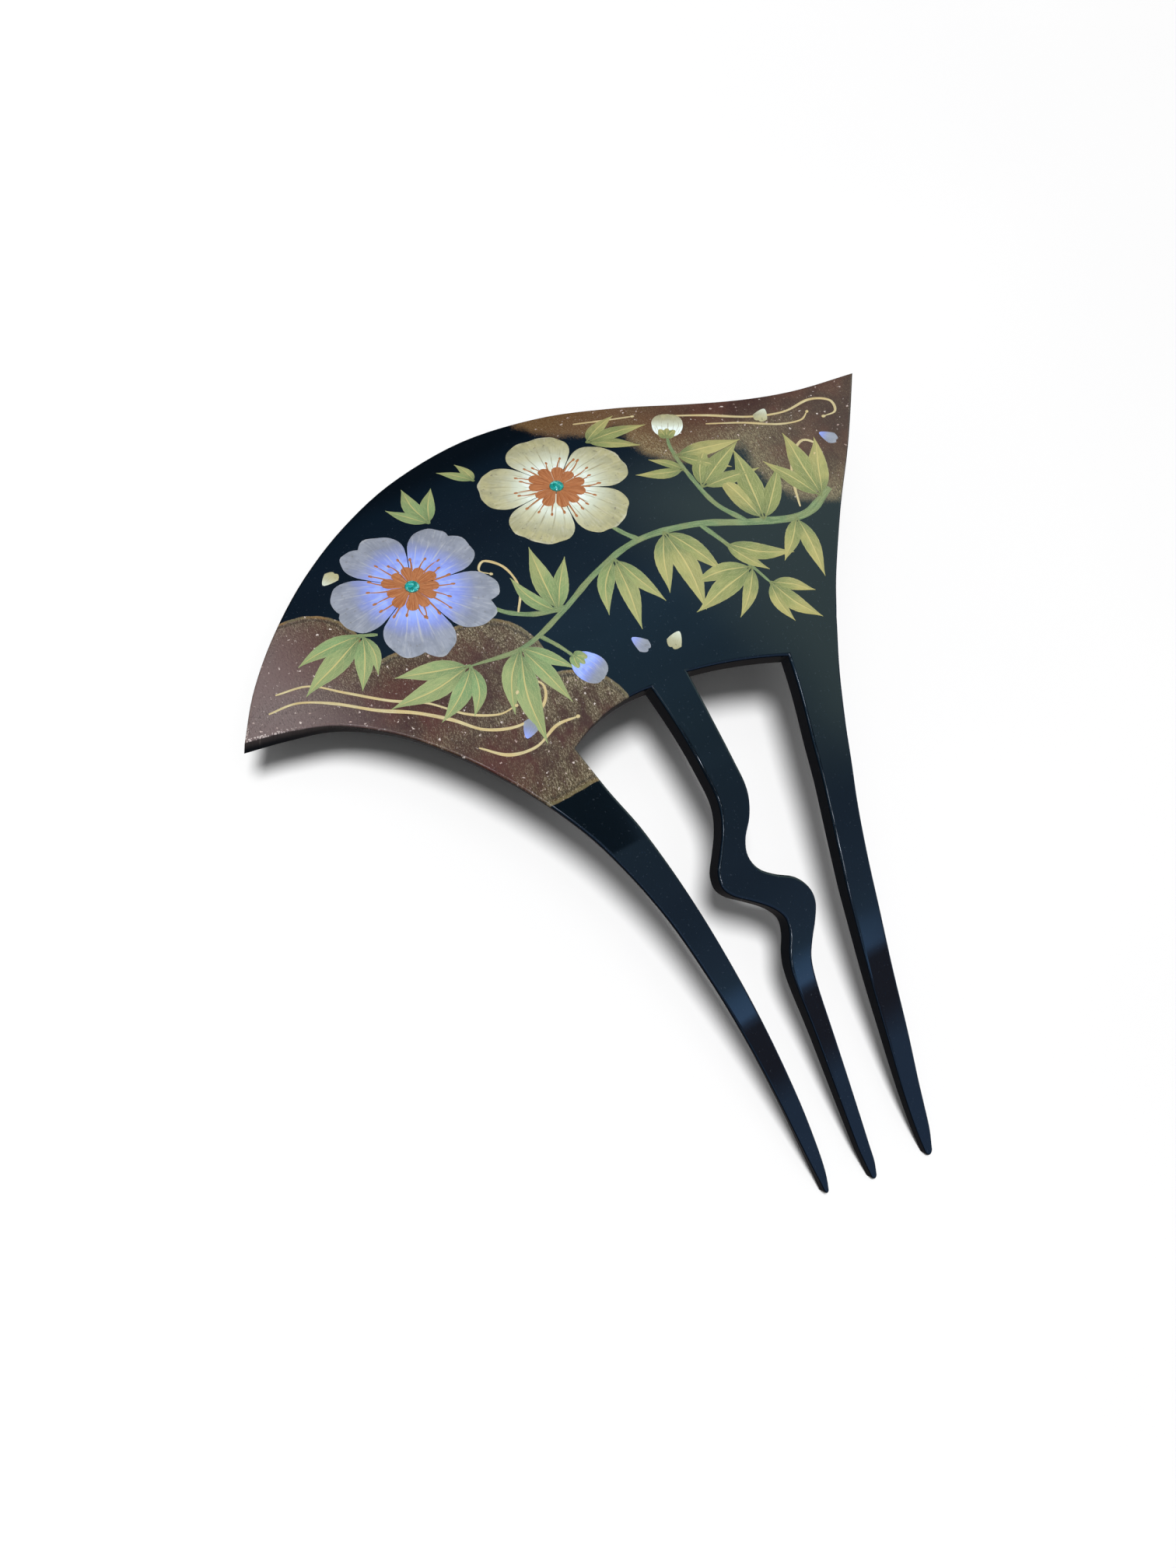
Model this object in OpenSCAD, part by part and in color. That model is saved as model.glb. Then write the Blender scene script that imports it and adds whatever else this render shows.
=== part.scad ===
// Fan-shaped hair comb: an arched plate with three long prongs, the middle
// one kinked so that it grips, and two small shell dots set on its face.
// The comb is drawn flat, as a pattern of width (x) and length (s), then
// bent along its length.  It lies arch up on its fan edge and prong points.

/* [Plate] */
// Thickness of the plate at the fan
plate_t = 2.8; // [2.2:0.1:3.6]
// Thickness near the points of the prongs
tip_t = 1.2; // [1:0.1:2]
// Radius of the rounded edges
edge_r = 0.35; // [0.3:0.05:1]
// Steps around each rounded edge
edge_n = 3; // [2:1:4]
// How far the outer edge slopes in on the underside, so that it looks thin
under = 0.9; // [0:0.05:1]

/* [Arch] */
// Length of arc on the fan side that has the middle radius
fan_arc = 30; // [20:1:40]
// Radius of the bend just above the openings
mid_r = 82; // [70:1:140]
// Radius of the bend at the fan edge
fan_r = 66; // [55:1:140]
// Radius of the bend in the upper half of the prongs
prong_r = 112; // [90:1:200]
// Radius of the bend in the lower half of the prongs
tip_r = 175; // [120:1:300]

/* [Shell dots] */
// Diameter of each dot
dot_d = 1.8; // [1.4:0.1:3]
// Height of each dot
dot_h = 0.5; // [0.4:0.05:0.8]
// Gap between a dot and the plate
dot_gap = 0.03; // [0.02:0.01:0.1]

/* [Fineness] */
// Rows of facets from the openings to the fan edge
fan_rows = 12; // [8:1:16]
// Columns of facets across each prong
prong_cols = 3; // [2:1:4]
// Columns of facets across each opening
gap_cols = 6; // [4:1:8]

/* [Hidden] */

// Fan edge of the flat pattern, left corner to right corner: [x, s]
fan_edge = [
    [-49.3, 31.0], [-44.9, 36.6], [-38.7, 42.7], [-30.6, 49.2], [-21.2, 55.1],
    [-11.1, 59.6], [0.5, 61.7], [11.1, 59.6], [20.2, 54.9], [28.1, 49.9],
    [35.2, 46.2], [42.4, 43.8], [51.3, 42.4]];
// Left flank, from the left prong up to the left corner: [x, s]
left_flank = [[-23.9, 11.6], [-27.9, 17.5], [-32.9, 23.3], [-38.5, 27.7], [-43.9, 29.8], [-49.3, 31.0]];
// Right flank, from the right prong up to the right corner: [x, s]
right_flank = [[25.4, 12], [29.0, 17.2], [35.3, 24.8], [42.7, 32.7], [51.3, 42.4]];
// Middle of the top of each opening: [x, s]
gap_top = [[-8.7, 14.5], [9.8, 12.8]];

// Prongs: [s, x of left edge, x of right edge], top row first
left_prong = [
    [12.5, -24.4, -15.1], [6, -20.8, -14.0], [0, -18.1, -12.5], [-10, -15.0, -10.8],
    [-20, -13.0, -9.5], [-30, -11.4, -8.4], [-40, -10.05, -7.55], [-45, -9.4, -7.3], [-49, -8.8, -7.2],
    [-51.3, -8.4, -7.3], [-52.6, -8.2, -7.5]];
mid_prong = [
    [15, -2.2, 3.2], [8, -1.85, 2.8], [2, -1.8, 2.6], [-1, -1.9, 2.5], [-3, -2.4, 2.0],
    [-5, -3.4, 0.9], [-7, -4.8, -0.8], [-9, -6.2, -1.5], [-11, -6.5, -0.9], [-12.5, -5.6, 0.7],
    [-14, -3.8, 3.0], [-16, -1.6, 4.3], [-18, -0.4, 4.4], [-20, -0.7, 3.4], [-22, -1.7, 2.0],
    [-24, -2.3, 0.9], [-27, -2.5, 0.35], [-32, -2.4, 0.1], [-42, -2.2, -0.1], [-50, -1.8, -0.1],
    [-53, -1.4, -0.05], [-54.6, -1.15, -0.25]];
right_prong = [
    [12, 16.8, 25.4], [6, 15.3, 21.9], [0, 13.6, 19.1], [-5, 12.4, 17.2], [-10, 11.1, 15.4],
    [-15, 9.9, 14.0], [-20, 8.9, 12.9], [-30, 7.6, 11.2], [-40, 7.0, 10.15], [-46, 6.85, 9.55],
    [-50, 6.95, 9.3], [-53.5, 7.2, 9.1], [-56, 7.5, 8.7]];
PRONGS = [left_prong, mid_prong, right_prong];
// Corners where each prong leaves the fan: [s of left corner, s of right corner]
prong_top = [[12, 12.3], [14.7, 14.4], [10.4, 12]];
// Rows of facets down each prong
prong_rows = [22, 36, 22];

// Thickness of the plate as a share of the way from point to fan: [s, share]
taper = [[-60, 0], [-50, 0.2], [-35, 0.55], [-15, 0.9], [5, 1], [45, 1], [62, 0.75]];

// Slope of the underside along a flank: [share of the way from prong to corner, share of under]
flank_slope = [[0, 0.88], [0.2, 0.9], [0.4, 1], [0.6, 0.6], [0.8, 0.12], [1, 0]];

// Shell dots on the flat pattern: [x, s]
dot_lilac = [-20.5, 40.5];
dot_ivory = [4.5, 45.5];

// How the comb lies: small roll about its length that sets both outer points down
roll = -4.4;

// ---- curves -------------------------------------------------------------
// Row of a table that holds v (rows may rise or fall in column 0)
function row_at(t, v) = let(up = t[1][0] > t[0][0])
    min(len(t) - 2, max([0, for (i = [0:len(t) - 1]) if (up ? v >= t[i][0] : v <= t[i][0]) i]));
// Slope of column k at row i
function grade(t, i, k) = let(a = max(i - 1, 0), b = min(i + 1, len(t) - 1))
    (t[b][k] - t[a][k]) / (t[b][0] - t[a][0]);
// Smooth value of column k at v
function at(t, v, k) = let(i = row_at(t, v), h = t[i + 1][0] - t[i][0],
    u = max(0, min(1, (v - t[i][0]) / h)), m = grade(t, i, k) * h, n = grade(t, i + 1, k) * h)
    (2*u*u*u - 3*u*u + 1) * t[i][k] + (u*u*u - 2*u*u + u) * m
    + (3*u*u - 2*u*u*u) * t[i + 1][k] + (u*u*u - u*u) * n;
// Smooth point at share w along a row of points
function along(p, w) = let(n = len(p) - 1, i = min(n - 1, floor(w * n)), u = w * n - i,
    a = p[max(i - 1, 0)], b = p[i], c = p[i + 1], d = p[min(i + 2, n)],
    m = (c - a) / (i == 0 ? 1 : 2), q = (d - b) / (i == n - 1 ? 1 : 2))
    (2*u*u*u - 3*u*u + 1) * b + (u*u*u - 2*u*u + u) * m + (3*u*u - 2*u*u*u) * c + (u*u*u - u*u) * q;
// Point on the arc through three points, by a parabola
function arc3(a, b, c, w) = (1 - w) * (1 - 2*w) * a + 4*w*(1 - w) * b + w*(2*w - 1) * c;

// ---- bend ---------------------------------------------------------------
fan_arcs = [[fan_arc, mid_r], [200, fan_r]];
prong_arcs = [[30, prong_r], [200, tip_r]];
// Walk d along arcs: [distance out, drop, angle]
function walk(t, d, i = 0, a = 0, y = 0, z = 0) = let(l = min(d, t[i][0]), r = t[i][1],
    b = a + l / r * 180 / PI, y2 = y + r * (sin(b) - sin(a)), z2 = z - r * (cos(a) - cos(b)))
    d <= t[i][0] ? [y2, z2, b] : walk(t, d - t[i][0], i + 1, b, y2, z2);
// Flat point p at height h above the upper face, bent into place
function bend(p, h) = let(f = p[1] >= 0, w = walk(f ? fan_arcs : prong_arcs, abs(p[1])), g = f ? 1 : -1)
    [p[0], g * (w[0] + h * sin(w[2])), w[1] + h * cos(w[2])];

function thick(s) = tip_t + (plate_t - tip_t) * at(taper, s, 1);
function rim(s) = edge_r * max(0.55, min(1, 0.55 + (s + 57) * 0.011));

// ---- outline ------------------------------------------------------------
np = prong_cols;
no = gap_cols;
N = 3 * np + 2 * no;
m = fan_rows;
function col0(k) = k * (np + no);
// s and x down the left (side 1) or right (side 2) edge of prong k at share w
function edge(k, side, w) = let(t = PRONGS[k], s0 = prong_top[k][side - 1], s1 = t[len(t) - 1][0],
    s = s0 + (s1 - s0) * w)
    w == 0 ? top_corner(k, side) : [at(t, s, side), s];
function top_corner(k, side) =
    k == 0 && side == 1 ? left_flank[0] : k == 2 && side == 2 ? right_flank[0]
    : [at(PRONGS[k], prong_top[k][side - 1], side), prong_top[k][side - 1]];
// Rounded point of prong k at column c
function cap(k, c) = let(t = PRONGS[k], e = t[len(t) - 1], r = (e[2] - e[1]) / 2, a = 180 + 180 * c / np)
    [(e[1] + e[2]) / 2 + r * cos(a), e[0] + 1.5 * r * sin(a)];

// Numbers of the facet corners: fan grid first, then the prongs
F = (N + 1) * (m + 1);
function before(k) = k == 0 ? 0 : before(k - 1) + prong_rows[k - 1] * (np + 1);
function fan_id(i, j) = j * (N + 1) + i;
function prong_id(k, r, c) = r == 0 ? fan_id(col0(k) + c, 0) : F + before(k) + (r - 1) * (np + 1) + c;

// The outline, clockwise from the foot of the left flank: [x, s, number]
outline = concat(
    [for (j = [0:m - 1]) concat(along(left_flank, j / m), [fan_id(0, j)])],
    [for (i = [0:N - 1]) concat(along(fan_edge, i / N), [fan_id(i, m)])],
    [for (j = [m:-1:1]) concat(along(right_flank, j / m), [fan_id(N, j)])],
    [for (k = [2:-1:0]) each concat(
        [for (r = [0:prong_rows[k]]) concat(edge(k, 2, r / prong_rows[k]), [prong_id(k, r, np)])],
        [for (c = [np - 1:-1:1]) concat(cap(k, c), [prong_id(k, prong_rows[k], c)])],
        [for (r = [prong_rows[k]:-1:k == 0 ? 1 : 0]) concat(edge(k, 1, r / prong_rows[k]), [prong_id(k, r, 0)])],
        k == 0 ? [] : [for (c = [no - 1:-1:1]) concat(
            arc3(top_corner(k - 1, 2), gap_top[k - 1], top_corner(k, 1), c / no), [fan_id(col0(k) - no + c, 0)])])]);
n = len(outline);
function unit2(v) = v / max(norm(v), 1e-9);
// Inward direction at each corner, long enough to keep the rim's width
inward = [for (i = [0:n - 1]) let(
    p = outline[(i + n - 1) % n], q = outline[i], r = outline[(i + 1) % n],
    a = unit2([q[0] - p[0], q[1] - p[1]]), b = unit2([r[0] - q[0], r[1] - q[1]]),
    s = [a[1] + b[1], -a[0] - b[0]]) s / max(1 + a * b, 0.15)];
// Slope of the underside at each corner of the outline, in its order: outer edges only
function prong_slope(w) = 0.88 * (1 - w * w * w * w);
slope = concat(
    [for (j = [0:m - 1]) at(flank_slope, j / m, 1)],
    [for (i = [0:N - 1]) 0.7 * min(1, 5 * min(i, N - i) / N)],
    [for (j = [m:-1:1]) at(flank_slope, j / m, 1)],
    [for (k = [2:-1:0]) each concat(
        [for (r = [0:prong_rows[k]]) k == 2 ? prong_slope(r / prong_rows[k]) : 0],
        [for (c = [np - 1:-1:1]) k == 1 ? 0 : prong_slope(1) * (k == 2 ? c : np - c) / np],
        [for (r = [prong_rows[k]:-1:k == 0 ? 1 : 0]) k == 0 ? prong_slope(r / prong_rows[k]) : 0],
        k == 0 ? [] : [for (c = [no - 1:-1:1]) 0])]);
// Outline moved in by share w of the rim, and by share u of the slope
function ring(w, u = 0) = [for (i = [0:n - 1])
    [outline[i][0], outline[i][1]] + inward[i] * (rim(outline[i][1]) * w + under * slope[i] * u)];

// ---- faces --------------------------------------------------------------
// Place of prong k's right edge in the outline
function right0(k) = k == 2 ? 2 * m + N : right0(k + 1) + 2 * prong_rows[k + 1] + np + no;
// Left and right edge of prong k at row r, in ring q
function left_at(q, k, r) = q[(right0(k) + 2 * prong_rows[k] + np - r) % n];
function right_at(q, k, r) = q[right0(k) + r];
function mix(a, b, w) = a * (1 - w) + b * w;
// Foot of the fan grid, column i
function foot(q, i) = let(k = floor(i / (np + no)), c = i - col0(k))
    c <= np ? mix(left_at(q, k, 0), right_at(q, k, 0), c / np)
    : q[(right0(k + 1) + 2 * prong_rows[k + 1] + np + (np + no - c)) % n];
function fan_point(q, i, j) = let(u = i / N, v = j / m)
    mix(foot(q, i), q[m + i], v) + mix(q[j], q[2 * m + N - j], u)
    - mix(mix(foot(q, 0), foot(q, N), u), mix(q[m], q[m + N], u), v);
// Grid of facet corners inside ring q
function face(q) = concat(
    [for (j = [0:m]) for (i = [0:N]) fan_point(q, i, j)],
    [for (k = [0:2]) for (r = [1:prong_rows[k]]) for (c = [0:np])
        r == prong_rows[k] && c > 0 && c < np ? q[right0(k) + prong_rows[k] + np - c]
        : mix(left_at(q, k, r), right_at(q, k, r), c / np)]);
upper = face(ring(1));
lower = face(ring(1, 1));
NF = len(upper);
quads = concat(
    [for (j = [0:m - 1]) for (i = [0:N - 1])
        [fan_id(i, j), fan_id(i, j + 1), fan_id(i + 1, j + 1), fan_id(i + 1, j)]],
    [for (k = [0:2]) for (r = [1:prong_rows[k]]) for (c = [0:np - 1])
        [prong_id(k, r, c), prong_id(k, r - 1, c), prong_id(k, r - 1, c + 1), prong_id(k, r, c + 1)]]);
tris = [for (q = quads) each [[q[0], q[1], q[2]], [q[0], q[2], q[3]]]];

// ---- solid --------------------------------------------------------------
// Rings from the upper face over the rounded edge to the lower face
function turn(g) = 90 * g / edge_n;
points = concat(
    [for (p = upper) bend(p, 0)],
    [for (p = lower) bend(p, -thick(p[1]))],
    [for (g = [1:edge_n]) each [for (p = ring(1 - sin(turn(g)))) bend(p, -rim(p[1]) * (1 - cos(turn(g))))]],
    [for (g = [edge_n:-1:1]) each [for (p = ring(1 - sin(turn(g)), 1)) bend(p, rim(p[1]) * (1 - cos(turn(g))) - thick(p[1]))]]);
// Number of the corner at place i of loop g (0 upper face, last lower face)
last = 2 * edge_n + 1;
function loop_id(g, i) = let(j = i % n)
    g == 0 ? outline[j][2] : g == last ? NF + outline[j][2] : 2 * NF + (g - 1) * n + j;
faces = concat(tris,
    [for (t = tris) [NF + t[0], NF + t[2], NF + t[1]]],
    [for (g = [1:last]) for (i = [0:n - 1]) each [
        [loop_id(g - 1, i), loop_id(g, i), loop_id(g, i + 1)],
        [loop_id(g - 1, i), loop_id(g, i + 1), loop_id(g - 1, i + 1)]]]);

// ---- resting pose -------------------------------------------------------
function turned(p, a) = let(q = [p[0] * cos(roll) + p[2] * sin(roll), p[1], p[2] * cos(roll) - p[0] * sin(roll)])
    [q[0], q[1] * cos(a) - q[2] * sin(a), q[1] * sin(a) + q[2] * cos(a)];
function low(a, g) = min([for (p = points) if (p[1] * g > 30) turned(p, a)[2]]);
// Pitch at which the fan edge and the prong points are equally low
function level(lo, hi, n) = let(a = (lo + hi) / 2)
    n == 0 ? a : low(a, 1) < low(a, -1) ? level(a, hi, n - 1) : level(lo, a, n - 1);
pitch = level(-5, 15, 16);
posed = [for (p = points) turned(p, pitch)];
function mid(k) = (min([for (p = posed) p[k]]) + max([for (p = posed) p[k]])) / 2;
shift = [-mid(0), -mid(1), -min([for (p = posed) p[2]])];

module lie() {
    translate(shift) rotate([pitch, 0, 0]) rotate([0, roll, 0]) children();
}

module comb_body() {
    color([0.05, 0.08, 0.11]) lie() polyhedron(points = points, faces = faces, convexity = 10);
}

// A low domed dot at flat point p
module dot(p) {
    w = walk(fan_arcs, p[1]);
    lie() translate(bend(p, dot_gap)) rotate([-w[2], 0, 0])
        rotate_extrude($fn = 32) polygon([[0, 0], [dot_d / 2, 0], [dot_d / 2, dot_h * 0.5],
            [dot_d * 0.42, dot_h * 0.8], [dot_d * 0.25, dot_h * 0.96], [0, dot_h]]);
}

module shell_dot_lilac() { color([0.1, 0.62, 0.55]) dot(dot_lilac); }
module shell_dot_ivory() { color([0.1, 0.62, 0.55]) dot(dot_ivory); }

comb_body();
shell_dot_lilac();
shell_dot_ivory();
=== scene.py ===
"""Looks of the kushi comb: lacquered body, painted blossoms, leaves, gold lines and shell dots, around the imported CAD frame."""
import bpy
import math
import numpy as np
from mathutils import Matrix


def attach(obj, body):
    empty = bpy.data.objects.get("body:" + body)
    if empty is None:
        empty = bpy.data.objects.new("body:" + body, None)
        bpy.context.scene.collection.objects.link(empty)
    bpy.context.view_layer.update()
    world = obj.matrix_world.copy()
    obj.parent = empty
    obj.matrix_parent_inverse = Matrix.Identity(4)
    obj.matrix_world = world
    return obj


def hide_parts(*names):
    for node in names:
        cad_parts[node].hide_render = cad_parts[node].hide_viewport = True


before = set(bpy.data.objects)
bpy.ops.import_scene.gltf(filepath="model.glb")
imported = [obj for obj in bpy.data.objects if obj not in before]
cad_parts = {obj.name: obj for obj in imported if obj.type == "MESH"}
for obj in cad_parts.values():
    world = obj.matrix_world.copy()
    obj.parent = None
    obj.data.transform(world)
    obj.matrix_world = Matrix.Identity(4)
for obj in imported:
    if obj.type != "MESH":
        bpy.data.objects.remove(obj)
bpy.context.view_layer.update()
MM = 0.001

# ---------------------------------------------------------------- shape, in mm, flat coordinates (x across, s along the arch)

PLATE_T, TIP_T, EDGE_R, UNDER = 2.8, 1.2, 0.35, 0.9
FAN_EDGE = [
    [-49.3, 31.0], [-44.9, 36.6], [-38.7, 42.7], [-30.6, 49.2], [-21.2, 55.1],
    [-11.1, 59.6], [0.5, 61.7], [11.1, 59.6], [20.2, 54.9], [28.1, 49.9],
    [35.2, 46.2], [42.4, 43.8], [51.3, 42.4]]
LEFT_FLANK = [[-23.9, 11.6], [-27.9, 17.5], [-32.9, 23.3], [-38.5, 27.7], [-43.9, 29.8], [-49.3, 31.0]]
RIGHT_FLANK = [[25.4, 12], [29.0, 17.2], [35.3, 24.8], [42.7, 32.7], [51.3, 42.4]]
GAP_TOP = [[-8.7, 14.5], [9.8, 12.8]]
LEFT_PRONG = [
    [12.5, -24.4, -15.1], [6, -20.8, -14.0], [0, -18.1, -12.5], [-10, -15.0, -10.8],
    [-20, -13.0, -9.5], [-30, -11.4, -8.4], [-40, -10.05, -7.55], [-45, -9.4, -7.3], [-49, -8.8, -7.2],
    [-51.3, -8.4, -7.3], [-52.6, -8.2, -7.5]]
MID_PRONG = [
    [15, -2.2, 3.2], [8, -1.85, 2.8], [2, -1.8, 2.6], [-1, -1.9, 2.5], [-3, -2.4, 2.0],
    [-5, -3.4, 0.9], [-7, -4.8, -0.8], [-9, -6.2, -1.5], [-11, -6.5, -0.9], [-12.5, -5.6, 0.7],
    [-14, -3.8, 3.0], [-16, -1.6, 4.3], [-18, -0.4, 4.4], [-20, -0.7, 3.4], [-22, -1.7, 2.0],
    [-24, -2.3, 0.9], [-27, -2.5, 0.35], [-32, -2.4, 0.1], [-42, -2.2, -0.1], [-50, -1.8, -0.1],
    [-53, -1.4, -0.05], [-54.6, -1.15, -0.25]]
RIGHT_PRONG = [
    [12, 16.8, 25.4], [6, 15.3, 21.9], [0, 13.6, 19.1], [-5, 12.4, 17.2], [-10, 11.1, 15.4],
    [-15, 9.9, 14.0], [-20, 8.9, 12.9], [-30, 7.6, 11.2], [-40, 7.0, 10.15], [-46, 6.85, 9.55],
    [-50, 6.95, 9.3], [-53.5, 7.2, 9.1], [-56, 7.5, 8.7]]
PRONGS = [LEFT_PRONG, MID_PRONG, RIGHT_PRONG]
PRONG_TOP = [(12, 12.3), (14.7, 14.4), (10.4, 12)]
TAPER = [(-60, 0), (-50, 0.2), (-35, 0.55), (-15, 0.9), (5, 1), (45, 1), (62, 0.75)]
FLANK_SLOPE = [(0, 0.88), (0.2, 0.9), (0.4, 1), (0.6, 0.6), (0.8, 0.12), (1, 0)]
FAN_ARCS = [(30, 82.0), (200, 66.0)]
PRONG_ARCS = [(30, 112.0), (200, 175.0)]
ROLL = -4.4


def row_at(t, v):
    up = t[1][0] > t[0][0]
    r = 0
    for i in range(len(t)):
        if (v >= t[i][0] if up else v <= t[i][0]):
            r = i
    return min(len(t) - 2, r)


def grade(t, i, k):
    a = max(i - 1, 0)
    b = min(i + 1, len(t) - 1)
    return (t[b][k] - t[a][k]) / (t[b][0] - t[a][0])


def at(t, v, k):
    """Column k of table t at v, on a smooth curve through its rows."""
    i = row_at(t, v)
    h = t[i + 1][0] - t[i][0]
    u = max(0, min(1, (v - t[i][0]) / h))
    m = grade(t, i, k) * h
    n = grade(t, i + 1, k) * h
    return (2*u**3 - 3*u*u + 1)*t[i][k] + (u**3 - 2*u*u + u)*m + (3*u*u - 2*u**3)*t[i+1][k] + (u**3 - u*u)*n


def along(p, w):
    """The point at w, 0 to 1, on a smooth curve through the points p."""
    p = np.asarray(p, float)
    n = len(p) - 1
    i = min(n - 1, int(math.floor(w * n + 1e-12)))
    u = w * n - i
    a, b, c, d = p[max(i - 1, 0)], p[i], p[i + 1], p[min(i + 2, n)]
    m = (c - a) / (1 if i == 0 else 2)
    q = (d - b) / (1 if i == n - 1 else 2)
    return (2*u**3 - 3*u*u + 1)*b + (u**3 - 2*u*u + u)*m + (3*u*u - 2*u**3)*c + (u**3 - u*u)*q


def arc3(a, b, c, w):
    a, b, c = map(np.asarray, (a, b, c))
    return (1 - w)*(1 - 2*w)*a + 4*w*(1 - w)*b + w*(2*w - 1)*c


def walk(t, d):
    """Distance out, drop and angle after d mm along the arcs of t."""
    d = np.asarray(d, float)
    a, y, z, left = np.zeros_like(d), np.zeros_like(d), np.zeros_like(d), d.copy()
    for l, r in t:
        s = np.clip(left, 0, l)
        b = a + s / r
        y = y + r * (np.sin(b) - np.sin(a))
        z = z - r * (np.cos(a) - np.cos(b))
        a = b
        left = left - s
    return y, z, a


def bend(x, s, h):
    """Flat point (x, s) and height h over the top face, on the arched plate."""
    x, s, h = np.broadcast_arrays(*map(lambda q: np.asarray(q, float), (x, s, h)))
    yf, zf, af = walk(FAN_ARCS, np.maximum(s, 0))
    yp, zp, ap = walk(PRONG_ARCS, np.maximum(-s, 0))
    f = s >= 0
    y = np.where(f, yf + h*np.sin(af), -(yp + h*np.sin(ap)))
    z = np.where(f, zf + h*np.cos(af), zp + h*np.cos(ap))
    return np.stack([x, y, z], -1)


def thick(s):
    s = np.atleast_1d(np.asarray(s, float))
    return TIP_T + (PLATE_T - TIP_T) * np.array([at(TAPER, v, 1) for v in s])


def rim(s):
    return EDGE_R * np.clip(0.55 + (np.asarray(s, float) + 57) * 0.011, 0.55, 1)


def plate(m=12, np_=3, no=6, rows=(22, 36, 22), K=3):
    """The comb as one closed mesh. Returns points (unposed mm), faces, flat (x, s, layer) of each point, normals (unposed), layer 0 on top and 1 below."""
    N = 3*np_ + 2*no
    col0 = lambda k: k*(np_ + no)

    def top_corner(k, side):
        if k == 0 and side == 1:
            return np.array(LEFT_FLANK[0], float)
        if k == 2 and side == 2:
            return np.array(RIGHT_FLANK[0], float)
        return np.array([at(PRONGS[k], PRONG_TOP[k][side-1], side), PRONG_TOP[k][side-1]])

    def edge(k, side, w):
        t = PRONGS[k]
        s0 = PRONG_TOP[k][side-1]
        s = s0 + (t[-1][0] - s0)*w
        return top_corner(k, side) if w == 0 else np.array([at(t, s, side), s])

    def cap(k, c):
        e = PRONGS[k][-1]
        r = (e[2] - e[1])/2
        a = math.radians(180 + 180*c/np_)
        return np.array([(e[1] + e[2])/2 + r*math.cos(a), e[0] + 1.5*r*math.sin(a)])

    F = (N + 1)*(m + 1)
    before = [0]
    for k in range(3):
        before.append(before[-1] + rows[k]*(np_ + 1))
    fid = lambda i, j: j*(N + 1) + i
    pid = lambda k, r, c: fid(col0(k) + c, 0) if r == 0 else F + before[k] + (r - 1)*(np_ + 1) + c
    O, ID, SL = [], [], []
    prong_slope = lambda w: 0.88*(1 - w**4)

    def add(p, i, slope=0.0):
        O.append(np.asarray(p, float))
        ID.append(i)
        SL.append(slope)

    for j in range(m):
        add(along(LEFT_FLANK, j/m), fid(0, j), at(FLANK_SLOPE, j/m, 1))
    for i in range(N):
        add(along(FAN_EDGE, i/N), fid(i, m), 0.7*min(1, 5*min(i, N - i)/N))
    for j in range(m, 0, -1):
        add(along(RIGHT_FLANK, j/m), fid(N, j), at(FLANK_SLOPE, j/m, 1))
    R0 = {}
    for k in (2, 1, 0):
        R0[k] = len(O)
        nr = rows[k]
        for r in range(nr + 1):
            add(edge(k, 2, r/nr), pid(k, r, np_), prong_slope(r/nr) if k == 2 else 0.0)
        for c in range(np_ - 1, 0, -1):
            add(cap(k, c), pid(k, nr, c), 0.0 if k == 1 else prong_slope(1)*(c if k == 2 else np_ - c)/np_)
        for r in range(nr, 0 if k == 0 else -1, -1):
            add(edge(k, 1, r/nr), pid(k, r, 0), prong_slope(r/nr) if k == 0 else 0.0)
        if k:
            for c in range(no - 1, 0, -1):
                add(arc3(top_corner(k-1, 2), GAP_TOP[k-1], top_corner(k, 1), c/no), fid(col0(k) - no + c, 0))
    O = np.array(O)
    n = len(O)
    a = O - np.roll(O, 1, 0)
    a /= np.linalg.norm(a, axis=1)[:, None]
    b = np.roll(O, -1, 0) - O
    b /= np.linalg.norm(b, axis=1)[:, None]
    inw = np.stack([a[:, 1] + b[:, 1], -a[:, 0] - b[:, 0]], 1)/np.maximum(1 + (a*b).sum(1), 0.15)[:, None]
    rm = rim(O[:, 1])
    slope = UNDER*np.array(SL)
    ring = lambda w, u=0.0: O + inw*(rm*w + slope*u)[:, None]

    def grid(I):
        """Grid of corners inside ring I."""
        left = lambda k, r: I[(R0[k] + 2*rows[k] + np_ - r) % n]
        right = lambda k, r: I[R0[k] + r]

        def foot(i):
            k = min(2, i//(np_ + no))
            c = i - col0(k)
            if c <= np_:
                w = c/np_
                return left(k, 0)*(1 - w) + right(k, 0)*w
            return I[(R0[k+1] + 2*rows[k+1] + np_ + (np_ + no - c)) % n]

        head = lambda i: I[m + i]
        west = lambda j: I[j]
        east = lambda j: I[2*m + N - j]
        P = []
        for j in range(m + 1):
            for i in range(N + 1):
                u, v = i/N, j/m
                P.append(foot(i)*(1 - v) + head(i)*v + west(j)*(1 - u) + east(j)*u
                         - ((foot(0)*(1 - u) + foot(N)*u)*(1 - v) + (head(0)*(1 - u) + head(N)*u)*v))
        for k in range(3):
            for r in range(1, rows[k] + 1):
                for c in range(np_ + 1):
                    if r == rows[k] and 0 < c < np_:
                        P.append(I[R0[k] + rows[k] + np_ - c])
                    else:
                        w = c/np_
                        P.append(left(k, r)*(1 - w) + right(k, r)*w)
        return np.array(P)

    P, Q = grid(ring(1)), grid(ring(1, 1))
    NF = len(P)
    quads = [(fid(i, j), fid(i, j+1), fid(i+1, j+1), fid(i+1, j)) for j in range(m) for i in range(N)]
    quads += [(pid(k, r, c), pid(k, r-1, c), pid(k, r-1, c+1), pid(k, r, c+1))
              for k in range(3) for r in range(1, rows[k] + 1) for c in range(np_)]

    def face_up(q, h):
        return bend(q[:, 0], q[:, 1], h + 1.0) - bend(q[:, 0], q[:, 1], h)

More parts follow.
